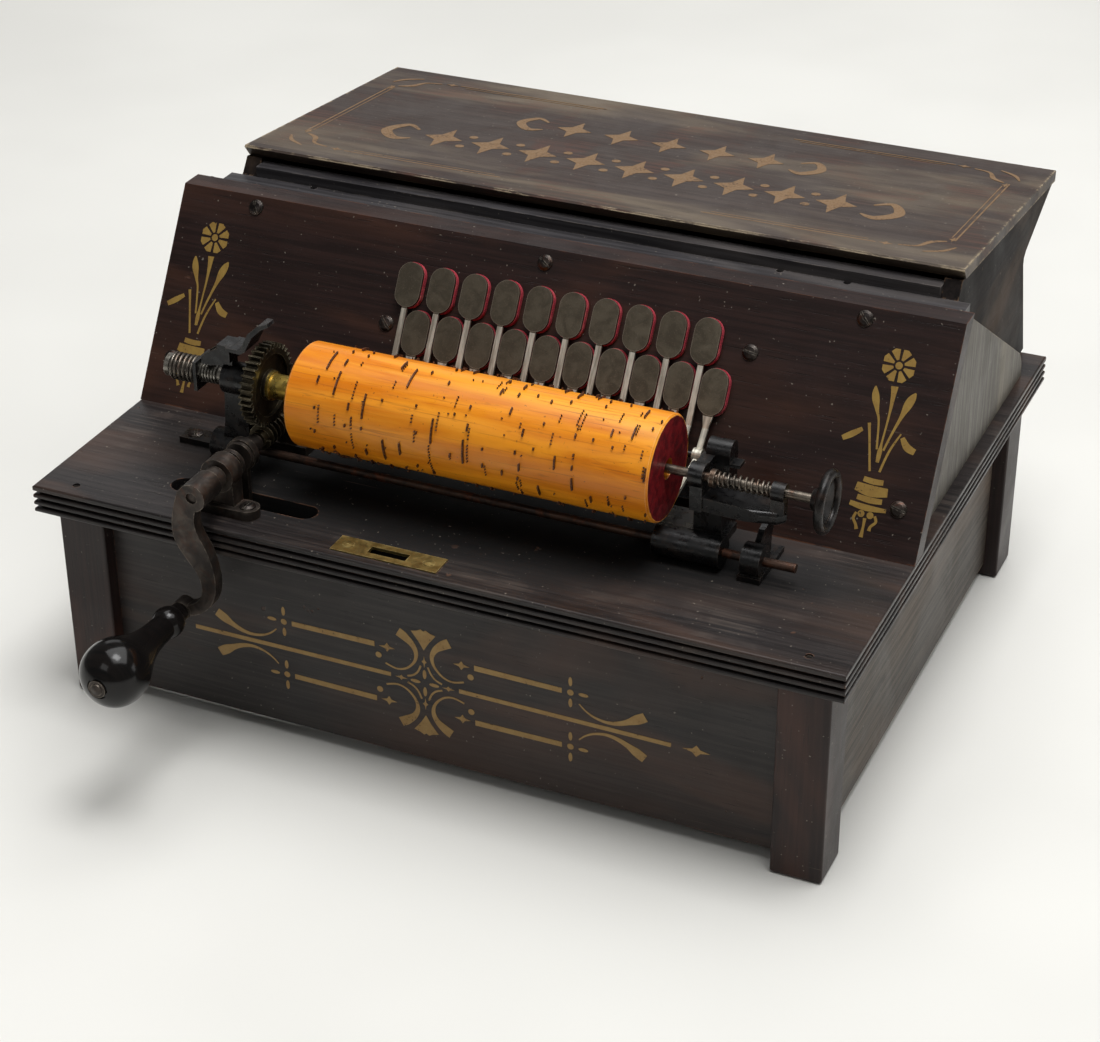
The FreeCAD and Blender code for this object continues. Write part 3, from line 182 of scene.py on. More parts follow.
def dark_wood(name, direction, body, streak, worn, wear=0.55, gloss=0.42, dust=1.0, edge_width=1.1 * MM,
              rub=0.0, rub_colour=None, shine=0.32, shade_under_roller=False, two_way=False):
    """Ebonised wood: fine grain, closed pores, nicks, dust specks and edges worn to the wood, with painted
    shade under the roller where asked.
    """
    f = Finish(name, specular=shine)
    if two_way:
        # Faces that look to the front or the rear have their grain along X, the rest along Y.
        facing = f.calc("ABSOLUTE", f.axis(1, f.node("ShaderNodeNewGeometry").outputs["True Normal"]))
        swapped = f.node("ShaderNodeCombineXYZ", {0: f.axis(1), 1: f.axis(0), 2: f.axis(2)}).outputs[0]
        f.point = f.mix(f.calc("GREATER_THAN", facing, 0.7), f.point, swapped)
    broad = f.noise(along(direction, 6, 22), 3, 0.6, 0.6)
    grain = f.noise(along(direction, 14, 520), 5, 0.62, 0.3)
    pores = f.noise(along(direction, 60, 1500), 3, 0.6)
    cloud = f.noise(26, 5, 0.6, 0.4)
    colour = f.mix(f.step(grain, 0.38, 0.66), body, streak)
    colour = f.mix(f.step(broad, 0.46, 0.72, (0.0, 0.5)), colour, f.mix(0.5, streak, worn))
    open_pores = f.step(pores, 0.60, 0.70)
    colour = f.mix(f.calc("MULTIPLY", open_pores, 0.55), colour, srgb(8, 6, 6))
    if rub > 0:
        patch = f.calc("MULTIPLY", f.step(cloud, 0.50, 0.66), f.step(grain, 0.42, 0.60), True)
        colour = f.mix(f.calc("MULTIPLY", patch, rub), colour, rub_colour)
    if shade_under_roller:
        # Painted shade: the deck under the roller is darkened nearly to black, fading out all round.
        middle = place(*ROLLER_SHADE_MIDDLE)
        from_roller = f.node("ShaderNodeVectorMath", {0: f.point, 1: middle}, operation="SUBTRACT").outputs[0]
        squeezed = f.stretched((1.0 / ROLLER_SHADE_REACH[0], 1.0 / ROLLER_SHADE_REACH[1], 0.0), vector=from_roller)
        reach = f.node("ShaderNodeVectorMath", {0: squeezed}, operation="LENGTH").outputs["Value"]
        painted_shade = f.step(f.calc("ADD", reach, f.calc("MULTIPLY", cloud, 0.35)), 0.75, 1.40, (0.96, 0.0))
        colour = f.mix(painted_shade, colour, srgb(2, 2, 2))
    scratch = f.calc("MULTIPLY", f.step(f.noise((24, 900, 900), 2, 0.5, 0.0, (0.3, 0.5, 0.55)), 0.70, 0.76),
                     f.step(f.noise(30, 2), 0.54, 0.64), True)
    colour = f.mix(f.calc("MULTIPLY", scratch, 0.35), colour, srgb(120, 104, 92))
    specks = f.step(f.noise(620, 1, 0.4), 0.745, 0.79)
    colour = f.mix(f.calc("MULTIPLY", specks, 0.45 * dust), colour, srgb(150, 142, 130))
    edge = f.edge(edge_width)
    ragged = f.step(f.calc("MULTIPLY", edge, f.step(f.noise(along(direction, 60, 260), 4, 0.7), 0.40, 0.62)),
                    0.25, 0.75, (0.0, wear))
    colour = f.mix(ragged, colour, worn)
    nicks = f.step(f.noise(150, 2, 0.5), 0.735, 0.775)
    chip = f.calc("MULTIPLY", nicks, f.step(f.noise(12, 2), 0.52, 0.62), True)
    colour = f.mix(f.calc("MULTIPLY", chip, 0.6), colour, f.mix(0.5, worn, srgb(70, 54, 44)))
    f.bump(grain, 0.05 * MM, 0.6)
    f.bump(f.calc("MULTIPLY", open_pores, -1.0), 0.06 * MM, 0.7)
    f.bump(f.calc("MULTIPLY", chip, -1.0), 0.5 * MM, 0.8)
    f.bump(cloud, 0.35 * MM, 0.5)
    rough = f.calc("ADD", f.step(cloud, 0.3, 0.7, (gloss - 0.06, gloss + 0.10)),
                   f.calc("MULTIPLY", f.calc("ADD", ragged, scratch), 0.2))
    # The painted shade under the roller is made rougher too.
    if shade_under_roller:
        rough = f.calc("ADD", rough, f.calc("MULTIPLY", painted_shade, 0.5))
    return f.done(colour, rough)


def metal(name, body, worn, bright, metallic=0.85, rough=0.42, pit=0.5, wear=0.8, edge_width=0.7 * MM,
          rust=None, rust_amount=0.0):
    """A casting or steel part: mottled, pitted, brighter where it rubs."""
    f = Finish(name, metal=metallic)
    cloud = f.noise(120, 5, 0.6, 0.5)
    fine = f.noise(1100, 3, 0.6)
    colour = f.mix(f.step(cloud, 0.36, 0.66), body, worn)
    if rust is not None:
        stain = f.calc("MULTIPLY", f.step(f.noise(90, 5, 0.7, 0.8), 0.50, 0.64), rust_amount)
        colour = f.mix(stain, colour, rust)
    edge = f.calc("MULTIPLY", f.edge(edge_width), f.step(f.noise(420, 3, 0.6), 0.36, 0.60), True)
    colour = f.mix(f.calc("MULTIPLY", edge, wear), colour, bright)
    colour = f.mix(f.step(fine, 0.62, 0.72, (0.0, 0.5)), colour, body)
    f.bump(fine, 0.05 * MM, pit)
    f.bump(cloud, 0.16 * MM, pit)
    return f.done(colour, f.step(f.noise(260, 4, 0.6), 0.3, 0.7, (rough - 0.10, rough + 0.14)))


def paint_gold(name, body, base, worn_away):
    """Stencilled bronze paint, thin and rubbed through in places."""
    f = Finish(name, metal=0.35)
    blotch = f.noise(170, 4, 0.65)
    fine = f.noise(900, 3, 0.65)
    shade = f.mix(f.step(blotch, 0.35, 0.65), body, f.mix(0.35, body, srgb(120, 84, 40)))
    gone = f.step(f.calc("ADD", f.calc("MULTIPLY", blotch, 0.45), f.calc("MULTIPLY", fine, 0.55)),
                  worn_away, worn_away + 0.07)
    f.bump(fine, 0.03 * MM, 0.5)
    return f.done(f.mix(gone, shade, base), f.step(fine, 0.3, 0.7, (0.42, 0.62)))


BLACK_BODY = srgb(28, 17, 15)
BLACK_STREAK = srgb(42, 27, 24)
BROWN_WORN = srgb(104, 66, 46)
DECK_BODY = srgb(27, 23, 23)
DECK_STREAK = srgb(46, 41, 40)
LID_BODY = srgb(46, 35, 30)
LID_STREAK = srgb(62, 50, 44)

WOOD_X = dark_wood("ebonised_wood_x", "x", BLACK_BODY, BLACK_STREAK, BROWN_WORN, shine=0.2)
WOOD_Z = dark_wood("ebonised_wood_z", "z", BLACK_BODY, BLACK_STREAK, srgb(112, 66, 46), wear=0.7)
FRONT_WOOD = dark_wood("ebonised_front", "x", srgb(34, 30, 29), srgb(47, 42, 40), BROWN_WORN)
# The deck carries painted shade under the roller.
DECK_WOOD = dark_wood("ebonised_deck", "x", DECK_BODY, DECK_STREAK, srgb(116, 82, 62), wear=0.7, gloss=0.36,
                      rub=0.35, rub_colour=srgb(88, 78, 70), shade_under_roller=True)
RAIL_WOOD = dark_wood("ebonised_rail", "x", srgb(40, 38, 40), srgb(62, 60, 62), srgb(120, 112, 106), wear=0.5)
LID_WOOD = dark_wood("stained_lid", "x", LID_BODY, LID_STREAK, srgb(160, 144, 118), wear=0.95, gloss=0.5,
                     edge_width=2.4 * MM, rub=0.35, rub_colour=srgb(96, 52, 38), shine=0.3)
# The cheeks are painted light grey: partly dust, partly painted sheen for the light glancing off their sides.
CHEEK_WOOD = dark_wood("dust_and_sheen_cheek", "z", srgb(88, 84, 78), srgb(116, 112, 104), srgb(168, 156, 134),
                       wear=0.8, gloss=0.55, dust=0.6, rub=0.3, rub_colour=srgb(70, 62, 54))
# Painted shade: the lid's side boards are painted near black, darker than the rest of the case.
LID_SIDE_WOOD = dark_wood("lid_side", "y", srgb(17, 13, 12), srgb(30, 24, 22), srgb(120, 96, 76), wear=0.7,
                          gloss=0.6, dust=0.5, shine=0.1)
SIDE_WOOD = dark_wood("scuffed_side", "y", srgb(52, 46, 40), srgb(84, 76, 68), srgb(150, 128, 110), wear=0.7,
                      gloss=0.5, dust=0.8, rub=0.5, rub_colour=srgb(110, 98, 86), two_way=True)


def bare_wood():
    f = Finish("bare_pine")
    rings = f.noise((10, 160, 160), 4, 0.55, 1.2)
    grain = f.noise((30, 1100, 1100), 4, 0.6)
    colour = f.mix(f.step(rings, 0.35, 0.65), srgb(168, 126, 80), srgb(128, 88, 50))
    colour = f.mix(f.step(grain, 0.55, 0.68, (0.0, 0.6)), colour, srgb(84, 56, 32))
    colour = f.mix(f.step(f.noise(30, 4), 0.5, 0.7, (0.0, 0.5)), colour, srgb(92, 72, 54))
    f.bump(grain, 0.08 * MM, 0.7)
    return f.done(colour, f.step(rings, 0.3, 0.7, (0.55, 0.75)))


def roller_wood():
    """Varnished maple, painted dull red on its right end with a bare rim."""
    f = Finish("varnished_maple", coat=0.12, coat_rough=0.22, specular=0.3)
    streaks = f.noise((9, 90, 90), 4, 0.6, 0.8)
    grain = f.noise((22, 900, 900), 4, 0.6)
    flake = f.noise((70, 420, 420), 3, 0.6, 0.4)
    colour = f.mix(f.step(streaks, 0.34, 0.66), srgb(240, 152, 30), srgb(212, 118, 8))
    pale = f.step(f.noise((5, 60, 60), 3, 0.5, 1.0), 0.52, 0.72, (0.0, 0.55))
    colour = f.mix(pale, colour, srgb(248, 178, 64))
    colour = f.mix(f.step(grain, 0.56, 0.70, (0.0, 0.55)), colour, srgb(160, 84, 22))
    colour = f.mix(f.step(flake, 0.62, 0.74, (0.0, 0.35)), colour, srgb(140, 74, 24))
    colour = f.mix(f.step(f.noise(700, 1), 0.72, 0.78, (0.0, 0.5)), colour, srgb(96, 52, 22))
    colour = f.mix(f.calc("MULTIPLY", f.edge(0.8 * MM), 0.6), colour, srgb(226, 190, 140))
    facing = f.axis(0, f.node("ShaderNodeNewGeometry").outputs["True Normal"])
    reach = f.node("ShaderNodeVectorMath", {0: f.stretched((0, 1, 1)),
                                            1: (0.0, place(0, ROLLER_YZ[0], 0).y, ROLLER_YZ[1] * MM)},
                   operation="DISTANCE").outputs["Value"]
    wobble = f.calc("ADD", reach, f.calc("MULTIPLY", f.noise(300, 3), 1.4 * MM))
    in_reach = f.calc("LESS_THAN", wobble, RED_PAINT_R * MM)
    right_end = f.calc("MULTIPLY", f.step(facing, 0.6, 0.9), in_reach, True)
    red = f.mix(f.step(f.noise(240, 4, 0.7), 0.38, 0.62), srgb(128, 26, 32), srgb(80, 12, 20))
    red = f.mix(f.step(f.noise(900, 2), 0.62, 0.7, (0.0, 0.6)), red, srgb(150, 70, 60))
    far = f.calc("GREATER_THAN", f.axis(0), 0.0)
    colour = f.mix(f.calc("MULTIPLY", right_end, far), colour, red)
    f.bump(grain, 0.04 * MM, 0.5)
    f.bump(streaks, 0.25 * MM, 0.4)
    return f.done(colour, f.step(flake, 0.3, 0.7, (0.30, 0.46)))


def pin_steel():
    """Wire staples: stripes round the roller show the legs of each bridge."""
    f = Finish("pin_steel", metal=0.45)
    stripes = f.noise((300, 1500, 1500), 2, 0.5)
    colour = f.mix(f.step(stripes, 0.42, 0.58), srgb(50, 27, 18), srgb(112, 74, 50))
    f.bump(stripes, 0.12 * MM, 0.9)
    return f.done(colour, f.step(stripes, 0.3, 0.7, (0.35, 0.6)))


def board_height(f):
    """A shader's own height off the sloping board, in metres."""
    cos, sin = math.cos(SLOPE_LEAN), math.sin(SLOPE_LEAN)
    foot = on_board(0, 0, 0)
    dot = f.node("ShaderNodeVectorMath", {0: f.point, 1: (0.0, -sin, cos)}, operation="DOT_PRODUCT")
    return f.calc("SUBTRACT", dot.outputs["Value"], foot.dot(Vector((0, -sin, cos))))


def key_metal(name, fan=False):
    """Tarnished pallet with worn rim and brighter arm, on a thick red felt."""
    f = Finish(name)
    height = board_height(f)
    is_steel = f.calc("GREATER_THAN", height, FELT_TOP * MM)
    tarnish = f.noise(150, 5, 0.65, 0.6)
    fine = f.noise(1500, 3, 0.65)
    streak = f.noise((700, 60, 60), 3, 0.6)
    steel = f.mix(f.step(tarnish, 0.35, 0.65), srgb(90, 83, 70), srgb(76, 70, 59))
    steel = f.mix(f.step(fine, 0.55, 0.72, (0.0, 0.4)), steel, srgb(120, 108, 94))
    steel = f.mix(f.calc("MULTIPLY", f.edge(0.5 * MM), 0.55), steel, srgb(172, 160, 144))
    slope_v = f.calc("ADD", f.calc("MULTIPLY", f.axis(2), math.sin(SLOPE_LEAN)),
                     f.calc("MULTIPLY", f.axis(1), math.cos(SLOPE_LEAN)))
    foot = on_board(0, 0, 0)
    foot_v = foot.z * math.sin(SLOPE_LEAN) + foot.y * math.cos(SLOPE_LEAN)
    low_end = (FAN_ARM_END if fan else LONG_ARM_END) * MM
    is_arm = f.calc("LESS_THAN", f.calc("SUBTRACT", slope_v, foot_v), low_end)
    arm = f.mix(f.step(streak, 0.35, 0.65), srgb(204, 199, 186), srgb(148, 142, 130))
    steel = f.mix(is_arm, steel, arm)
    felt_fuzz = f.noise(2600, 4, 0.7)
    felt = f.mix(f.step(felt_fuzz, 0.35, 0.65), srgb(132, 22, 38), srgb(196, 62, 78))
    felt = f.mix(f.step(f.noise(160, 3), 0.52, 0.7, (0.0, 0.5)), felt, srgb(214, 126, 116))
    f.bump(f.mix(is_steel, felt_fuzz, f.calc("MULTIPLY", fine, 0.2)), 0.18 * MM, 0.8)
    rough = f.mix(is_steel, (0.95, 0.95, 0.95, 1), f.step(tarnish, 0.3, 0.7, (0.34, 0.5)))
    return f.done(f.mix(is_steel, felt, steel), rough, f.calc("MULTIPLY", is_steel, 0.75))


def gloss_black():
    """Black lacquered turned wood, with faint turning lines."""
    f = Finish("black_lacquer", specular=0.28)
    lines = f.noise((40, 900, 40), 3, 0.6)
    scuff = f.step(f.noise((120, 500, 500), 4, 0.7, 0.6), 0.66, 0.74)
    colour = f.mix(f.step(lines, 0.4, 0.6), srgb(12, 11, 11), srgb(20, 17, 16))
    colour = f.mix(f.calc("MULTIPLY", scuff, 0.4), colour, srgb(74, 60, 50))
    f.bump(lines, 0.03 * MM, 0.4)
    return f.done(colour, f.step(f.noise(60, 4), 0.3, 0.7, (0.10, 0.20)))


def bellows_fabric():
    f = Finish("rubber_cloth", sheen=0.25)
    weave_a = f.node("ShaderNodeTexWave", {"Vector": f.point, "Scale": 260.0, "Distortion": 1.2},
                     bands_direction="X").outputs[1]
    weave_b = f.node("ShaderNodeTexWave", {"Vector": f.point, "Scale": 260.0, "Distortion": 1.2},
                     bands_direction="Z").outputs[1]
    weave = f.calc("MULTIPLY", weave_a, weave_b)
    colour = f.mix(f.step(f.noise(50, 4), 0.35, 0.65), srgb(40, 30, 24), srgb(62, 46, 36))
    colour = f.mix(f.calc("MULTIPLY", weave, 0.4), colour, srgb(86, 66, 50))
    f.bump(weave, 0.12 * MM, 0.7)
    return f.done(colour, f.step(f.noise(400, 3), 0.3, 0.7, (0.6, 0.8)))


PINE = bare_wood()
MAPLE = roller_wood()
PIN_STEEL = pin_steel()
LONG_KEY = key_metal("pallet_long")
SHORT_KEY = key_metal("pallet_short", fan=True)
LACQUER = gloss_black()
CLOTH = bellows_fabric()
BLACK_IRON = metal("japanned_iron", srgb(9, 9, 10), srgb(20, 19, 20), srgb(74, 68, 62), metallic=0.2,
                   rough=0.30, wear=0.6, rust=srgb(46, 36, 30), rust_amount=0.5)
GREY_IRON = metal("worn_iron", srgb(46, 41, 38), srgb(74, 66, 60), srgb(132, 122, 110), metallic=0.7,
                  rough=0.42, rust=srgb(70, 46, 34), rust_amount=0.5)
DARK_GEAR = metal("oiled_gear", srgb(36, 32, 24), srgb(66, 58, 42), srgb(150, 140, 116), metallic=0.75,
                  rough=0.42, wear=0.9, edge_width=0.5 * MM)
STEEL = metal("bright_steel", srgb(120, 116, 108), srgb(160, 155, 146), srgb(208, 204, 196), metallic=0.9,
              rough=0.32, rust=srgb(90, 66, 50), rust_amount=0.45)
DARK_STEEL = metal("dull_steel", srgb(74, 68, 62), srgb(112, 104, 94), srgb(176, 168, 156), metallic=0.85,
                   rough=0.36, rust=srgb(84, 58, 42), rust_amount=0.6)
ROD_STEEL = metal("rusted_rod", srgb(52, 40, 34), srgb(84, 62, 50), srgb(140, 120, 104), metallic=0.6,
                  rough=0.44, rust=srgb(104, 62, 42), rust_amount=0.8)
RING_IRON = metal("japanned_ring", srgb(22, 21, 21), srgb(40, 36, 34), srgb(112, 100, 90), metallic=0.5,
                  rough=0.34, rust=srgb(64, 44, 34), rust_amount=0.4)
SCREW_STEEL = metal("blackened_steel", srgb(34, 30, 29), srgb(62, 56, 52), srgb(150, 142, 130), metallic=0.8,
                    rough=0.38, rust=srgb(78, 46, 32), rust_amount=0.6)
BRASS = metal("aged_brass", srgb(122, 104, 58), srgb(150, 132, 80), srgb(206, 190, 132), metallic=0.75,
              rough=0.40, rust=srgb(78, 64, 38), rust_amount=0.5)
HUB_BRASS = metal("hub_brass", srgb(150, 124, 54), srgb(196, 170, 90), srgb(232, 214, 150), metallic=0.9,
                  rough=0.30)
FRONT_GOLD = paint_gold("bronze_paint_front", srgb(150, 122, 74), srgb(44, 38, 35), 0.60)
BOARD_GOLD = paint_gold("bronze_paint_board", srgb(158, 128, 62), srgb(30, 24, 21), 0.60)
LID_GOLD = paint_gold("faded_paint_lid", srgb(128, 100, 68), srgb(58, 46, 39), 0.56)

NODE_FINISH = {
    "deck_board": DECK_WOOD, "base_front_panel": FRONT_WOOD, "base_rear_panels": SIDE_WOOD,
    "corner_posts": WOOD_Z, "valve_board": WOOD_X, "side_cheeks": CHEEK_WOOD, "lid_rails": RAIL_WOOD,
    "lid_side_boards": LID_SIDE_WOOD, "lid_top_board": LID_WOOD, "lid_back_board": WOOD_X,
    "reed_pan": PINE, "wind_board": PINE, "feeder_board": PINE, "reservoir_board": PINE,
    "brass_reeds": BRASS, "lock_plate": BRASS, "key_rail": BLACK_IRON, "left_bracket": BLACK_IRON,
    "right_bracket": BLACK_IRON, "roller_frame": BLACK_IRON, "crank_bearings": GREY_IRON,
    "crank_arm": GREY_IRON, "crankshaft": GREY_IRON, "pitman": GREY_IRON, "feed_lever": BLACK_IRON,
    "arbor_knob": RING_IRON, "arbor": DARK_STEEL, "mandrel": STEEL, "slide_rod": ROD_STEEL,
    "drive_worm": DARK_GEAR, "drive_gear": DARK_GEAR, "gear_hub": HUB_BRASS, "iron_screws": SCREW_STEEL,
    "roller": MAPLE, "roller_pins": PIN_STEEL, "crank_knob": LACQUER,
}
for number in range(1, KEY_COUNT + 1):
    NODE_FINISH["key_%02d" % number] = LONG_KEY if number % 2 else SHORT_KEY


for node_name, node_finish in NODE_FINISH.items():
    node_mesh = NODES[node_name].data
    node_mesh.materials.clear()
    node_mesh.materials.append(node_finish)


# ------------------------------------------------------------------ mesh building
def piece(name, mesh, material, body):
    made = bpy.data.objects.new(name, mesh)
    bpy.context.scene.collection.objects.link(made)
    mesh.materials.append(material)
    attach(made, body)
    return made


def smooth_path(points, steps=6):
    """Catmull-Rom points through (x, y, width) points."""
    ends = [points[0]] + list(points) + [points[-1]]
    out = []
    for a, b, c, d in zip(ends, ends[1:], ends[2:], ends[3:]):
        for i in range(steps):
            t = i / steps
            out.append(tuple(0.5 * (2 * q + (r - p) * t + (2 * p - 5 * q + 4 * r - s) * t * t
                                    + (3 * q - p - 3 * r + s) * t ** 3)
                             for p, q, r, s in zip(a, b, c, d)))
    out.append(points[-1])
    return out


class Stencil:
    """Flat painted shapes in mm, turned into one thin closed mesh on a surface."""

    def __init__(self, surface, lift=0.11, depth=0.16):
        self.surface = surface
        self.lift = lift
        self.depth = depth
        self.mesh = bmesh.new()

    def shape(self, outline):
        """A filled outline that may curve in on itself, as a thin plate."""
        top = [self.mesh.verts.new(self.surface(p, q, self.lift)) for p, q in outline]
        low = [self.mesh.verts.new(self.surface(p, q, self.lift - self.depth)) for p, q in outline]
        self.mesh.faces.new(top)
        self.mesh.faces.new(low[::-1])
        for i in range(len(outline)):
            j = (i + 1) % len(outline)
            self.mesh.faces.new((top[j], top[i], low[i], low[j]))

    def band(self, points, curved=True):
        """A stroke through (p, q, width) points, made as one outline."""
        line = smooth_path(points) if curved else list(points)
        left, right = [], []
        for i, (p, q, width) in enumerate(line):
            a, b = line[max(i - 1, 0)], line[min(i + 1, len(line) - 1)]
            dx, dy = b[0] - a[0], b[1] - a[1]
            size = math.hypot(dx, dy) or 1.0
            half = 0.5 * max(width, 0.15)
            left.append((p - dy / size * half, q + dx / size * half))
            right.append((p + dy / size * half, q - dx / size * half))
        self.shape(left + right[::-1])

    def spot(self, p, q, rx, ry=None, sides=14):
        ry = ry or rx
        angles = [2 * math.pi * i / sides for i in range(sides)]
        self.shape([(p + rx * math.cos(a), q + ry * math.sin(a)) for a in angles])

    def lozenge(self, p, q, rx, ry, pinch=0.32):
        """A four-pointed star with hollow sides."""
        points = []
        for i in range(4):
            a = 0.5 * math.pi * i
            points.append((p + rx * math.cos(a), q + ry * math.sin(a)))
            b = a + 0.25 * math.pi
            points.append((p + rx * pinch * math.cos(b) * 1.3, q + ry * pinch * math.sin(b) * 1.3))
        self.shape(points)

    def finish(self, name, material):
        bmesh.ops.recalc_face_normals(self.mesh, faces=self.mesh.faces)
        bmesh.ops.triangulate(self.mesh, faces=self.mesh.faces)
        mesh = bpy.data.meshes.new(name)
        self.mesh.to_mesh(mesh)
        self.mesh.free()
        piece(name, mesh, material, "case")


def front_surface(p, q, lift):
    """The front panel's face, about the middle of its ornament."""
    return place(p + FRONT_ORNAMENT[0], PANEL_FACE_Y - lift, q + FRONT_ORNAMENT[1])


def front_stencil():
    s = Stencil(front_surface)
    for m in (-1, 1):
        s.band([(16.5 * m, 0.3, 2.1), (115.0 * m, -0.1, 2.1)], curved=False)
        s.lozenge(126.3 * m, 0.0, 6.3, 2.9)
        for n in (-1, 1):
            s.band([(24.0 * m, 14.2 * n, 2.7), (65.0 * m, 13.9 * n, 2.5)], curved=False)
            s.band([(12.3 * m, 23.6 * n, 4.6), (9.4 * m, 21.9 * n, 4.4), (5.6 * m, 18.6 * n, 2.9),
                    (3.8 * m, 14.4 * n, 2.0), (4.8 * m, 9.8 * n, 1.3), (8.6 * m, 5.6 * n, 1.0),
                    (13.4 * m, 4.1 * n, 0.9), (18.9 * m, 5.5 * n, 0.9)])
            s.band([(1.7 * m, 8.6 * n, 0.9), (3.2 * m, 5.2 * n, 0.9), (5.4 * m, 2.9 * n, 0.9),
                    (8.4 * m, 1.6 * n, 0.9)])
            s.spot(22.2 * m, 9.0 * n, 1.5)
            s.lozenge(17.9 * m, 13.9 * n, 3.9, 2.3)
            s.spot(69.0 * m, 13.9 * n, 1.5)
            s.spot(69.0 * m, 19.4 * n, 0.9, 2.3)
            s.spot(69.0 * m, 8.6 * n, 0.9, 2.2)
            s.spot(75.0 * m, 14.1 * n, 2.3, 0.9)
            s.band([(103.2 * m, 10.6 * n, 4.4), (99.4 * m, 8.3 * n, 4.6), (95.6 * m, 6.1 * n, 2.9),
                    (91.0 * m, 4.1 * n, 2.1), (85.6 * m, 3.2 * n, 1.5), (80.2 * m, 4.2 * n, 1.1),
                    (76.0 * m, 6.4 * n, 0.8), (73.0 * m, 9.2 * n, 0.6)])
    for n in (-1, 1):
        s.shape([(0.0, 16.9 * n), (2.4, 21.0 * n), (5.9, 25.6 * n), (3.2, 26.3 * n), (1.2, 27.4 * n),
                 (0.0, 26.6 * n), (-1.2, 27.4 * n), (-3.2, 26.3 * n), (-5.9, 25.6 * n), (-2.4, 21.0 * n)])
        s.lozenge(0.0, 11.0 * n, 1.3, 3.0)
        s.lozenge(11.4 * n, 0.0, 3.0, 1.3)
        s.spot(0.0, 4.5 * n, 0.9, 2.4)
        s.spot(4.5 * n, 0.0, 2.4, 0.9)
    s.finish("stencil_front", FRONT_GOLD)


def flower_stencil(name, shift_u, shift_v):
    """A plain daisy, two buds and loose leaves standing in a striped urn."""
    def surface(p, q, lift):
        return on_board(p + shift_u, q + shift_v, lift)
    s = Stencil(surface)
    centre = (0.3, 46.3)
    s.spot(centre[0], centre[1], 1.6)
    for i in range(8):
        a = math.radians(22.0 + 45.0 * i)
        wedge = [(2.5, -0.20), (7.0, -0.29), (7.5, 0.0), (7.0, 0.29), (2.5, 0.20)]
        s.shape([(centre[0] + r * math.cos(a + t), centre[1] + r * math.sin(a + t)) for r, t in wedge])
    s.band([(-7.1, 20.4, 1.4), (-5.6, 14.0, 1.0), (-2.6, 0.4, 1.0)])
    s.band([(-7.6, 36.2, 0.6), (-7.2, 33.6, 2.6), (-6.4, 30.6, 3.2), (-4.8, 26.0, 1.5), (-3.2, 21.5, 0.9),
            (-1.6, 10.0, 0.9)])
    s.band([(0.4, 37.4, 3.2), (0.6, 33.0, 2.0), (0.6, 25.0, 1.0), (0.0, 13.5, 0.9), (-0.1, 9.0, 2.0),
            (-0.2, 4.6, 1.4)])
    s.band([(10.0, 36.2, 0.6), (9.0, 34.0, 3.0), (7.6, 30.6, 3.6), (5.8, 25.0, 1.6), (3.3, 17.2, 1.0),
            (1.3, 10.0, 0.9)])
    s.band([(7.3, 18.2, 0.7), (3.8, 10.0, 1.0), (1.6, 0.8, 1.0)])
    s.band([(-17.2, 12.0, 2.2), (-13.2, 14.6, 2.7), (-9.4, 17.4, 1.7)])
    s.band([(8.2, 16.8, 1.9), (11.0, 13.2, 3.2), (14.6, 11.8, 2.6)])
    s.band([(-4.4, -3.1, 2.2), (0.0, -3.6, 2.5), (4.3, -3.4, 2.2)])
    s.band([(-7.0, -6.6, 3.6), (-0.4, -7.7, 4.9), (7.0, -7.2, 3.6)])
    s.band([(-5.6, -11.0, 2.2), (0.0, -11.6, 2.6), (5.4, -11.4, 2.2)])
    s.band([(-8.2, -14.0, 2.0), (-1.0, -15.0, 2.7), (7.9, -14.8, 1.6)])
    s.spot(-2.4, -17.8, 1.5)
    s.spot(1.6, -17.9, 1.5)
    s.band([(-4.4, -17.6, 1.2), (-5.3, -20.2, 1.2), (-3.8, -22.6, 1.2), (-3.0, -24.6, 1.6)])
    s.band([(3.6, -17.8, 1.2), (4.6, -20.2, 1.2), (2.8, -22.4, 1.2), (2.4, -24.4, 1.6)])
    s.band([(-0.4, -19.4, 1.5), (-0.3, -23.0, 1.1), (-0.4, -27.6, 1.8)])
    s.finish(name, BOARD_GOLD)


LID_FRONT = (27.0, 207.3)
LID_BACK = (186.7, 192.4)


def lid_surface(p, q, lift):
    """The lid's top face: p across, q back from its front edge."""
    fall = (LID_FRONT[1] - LID_BACK[1]) / (LID_BACK[0] - LID_FRONT[0])
    return place(p, LID_FRONT[0] + q, LID_FRONT[1] - fall * q + lift)


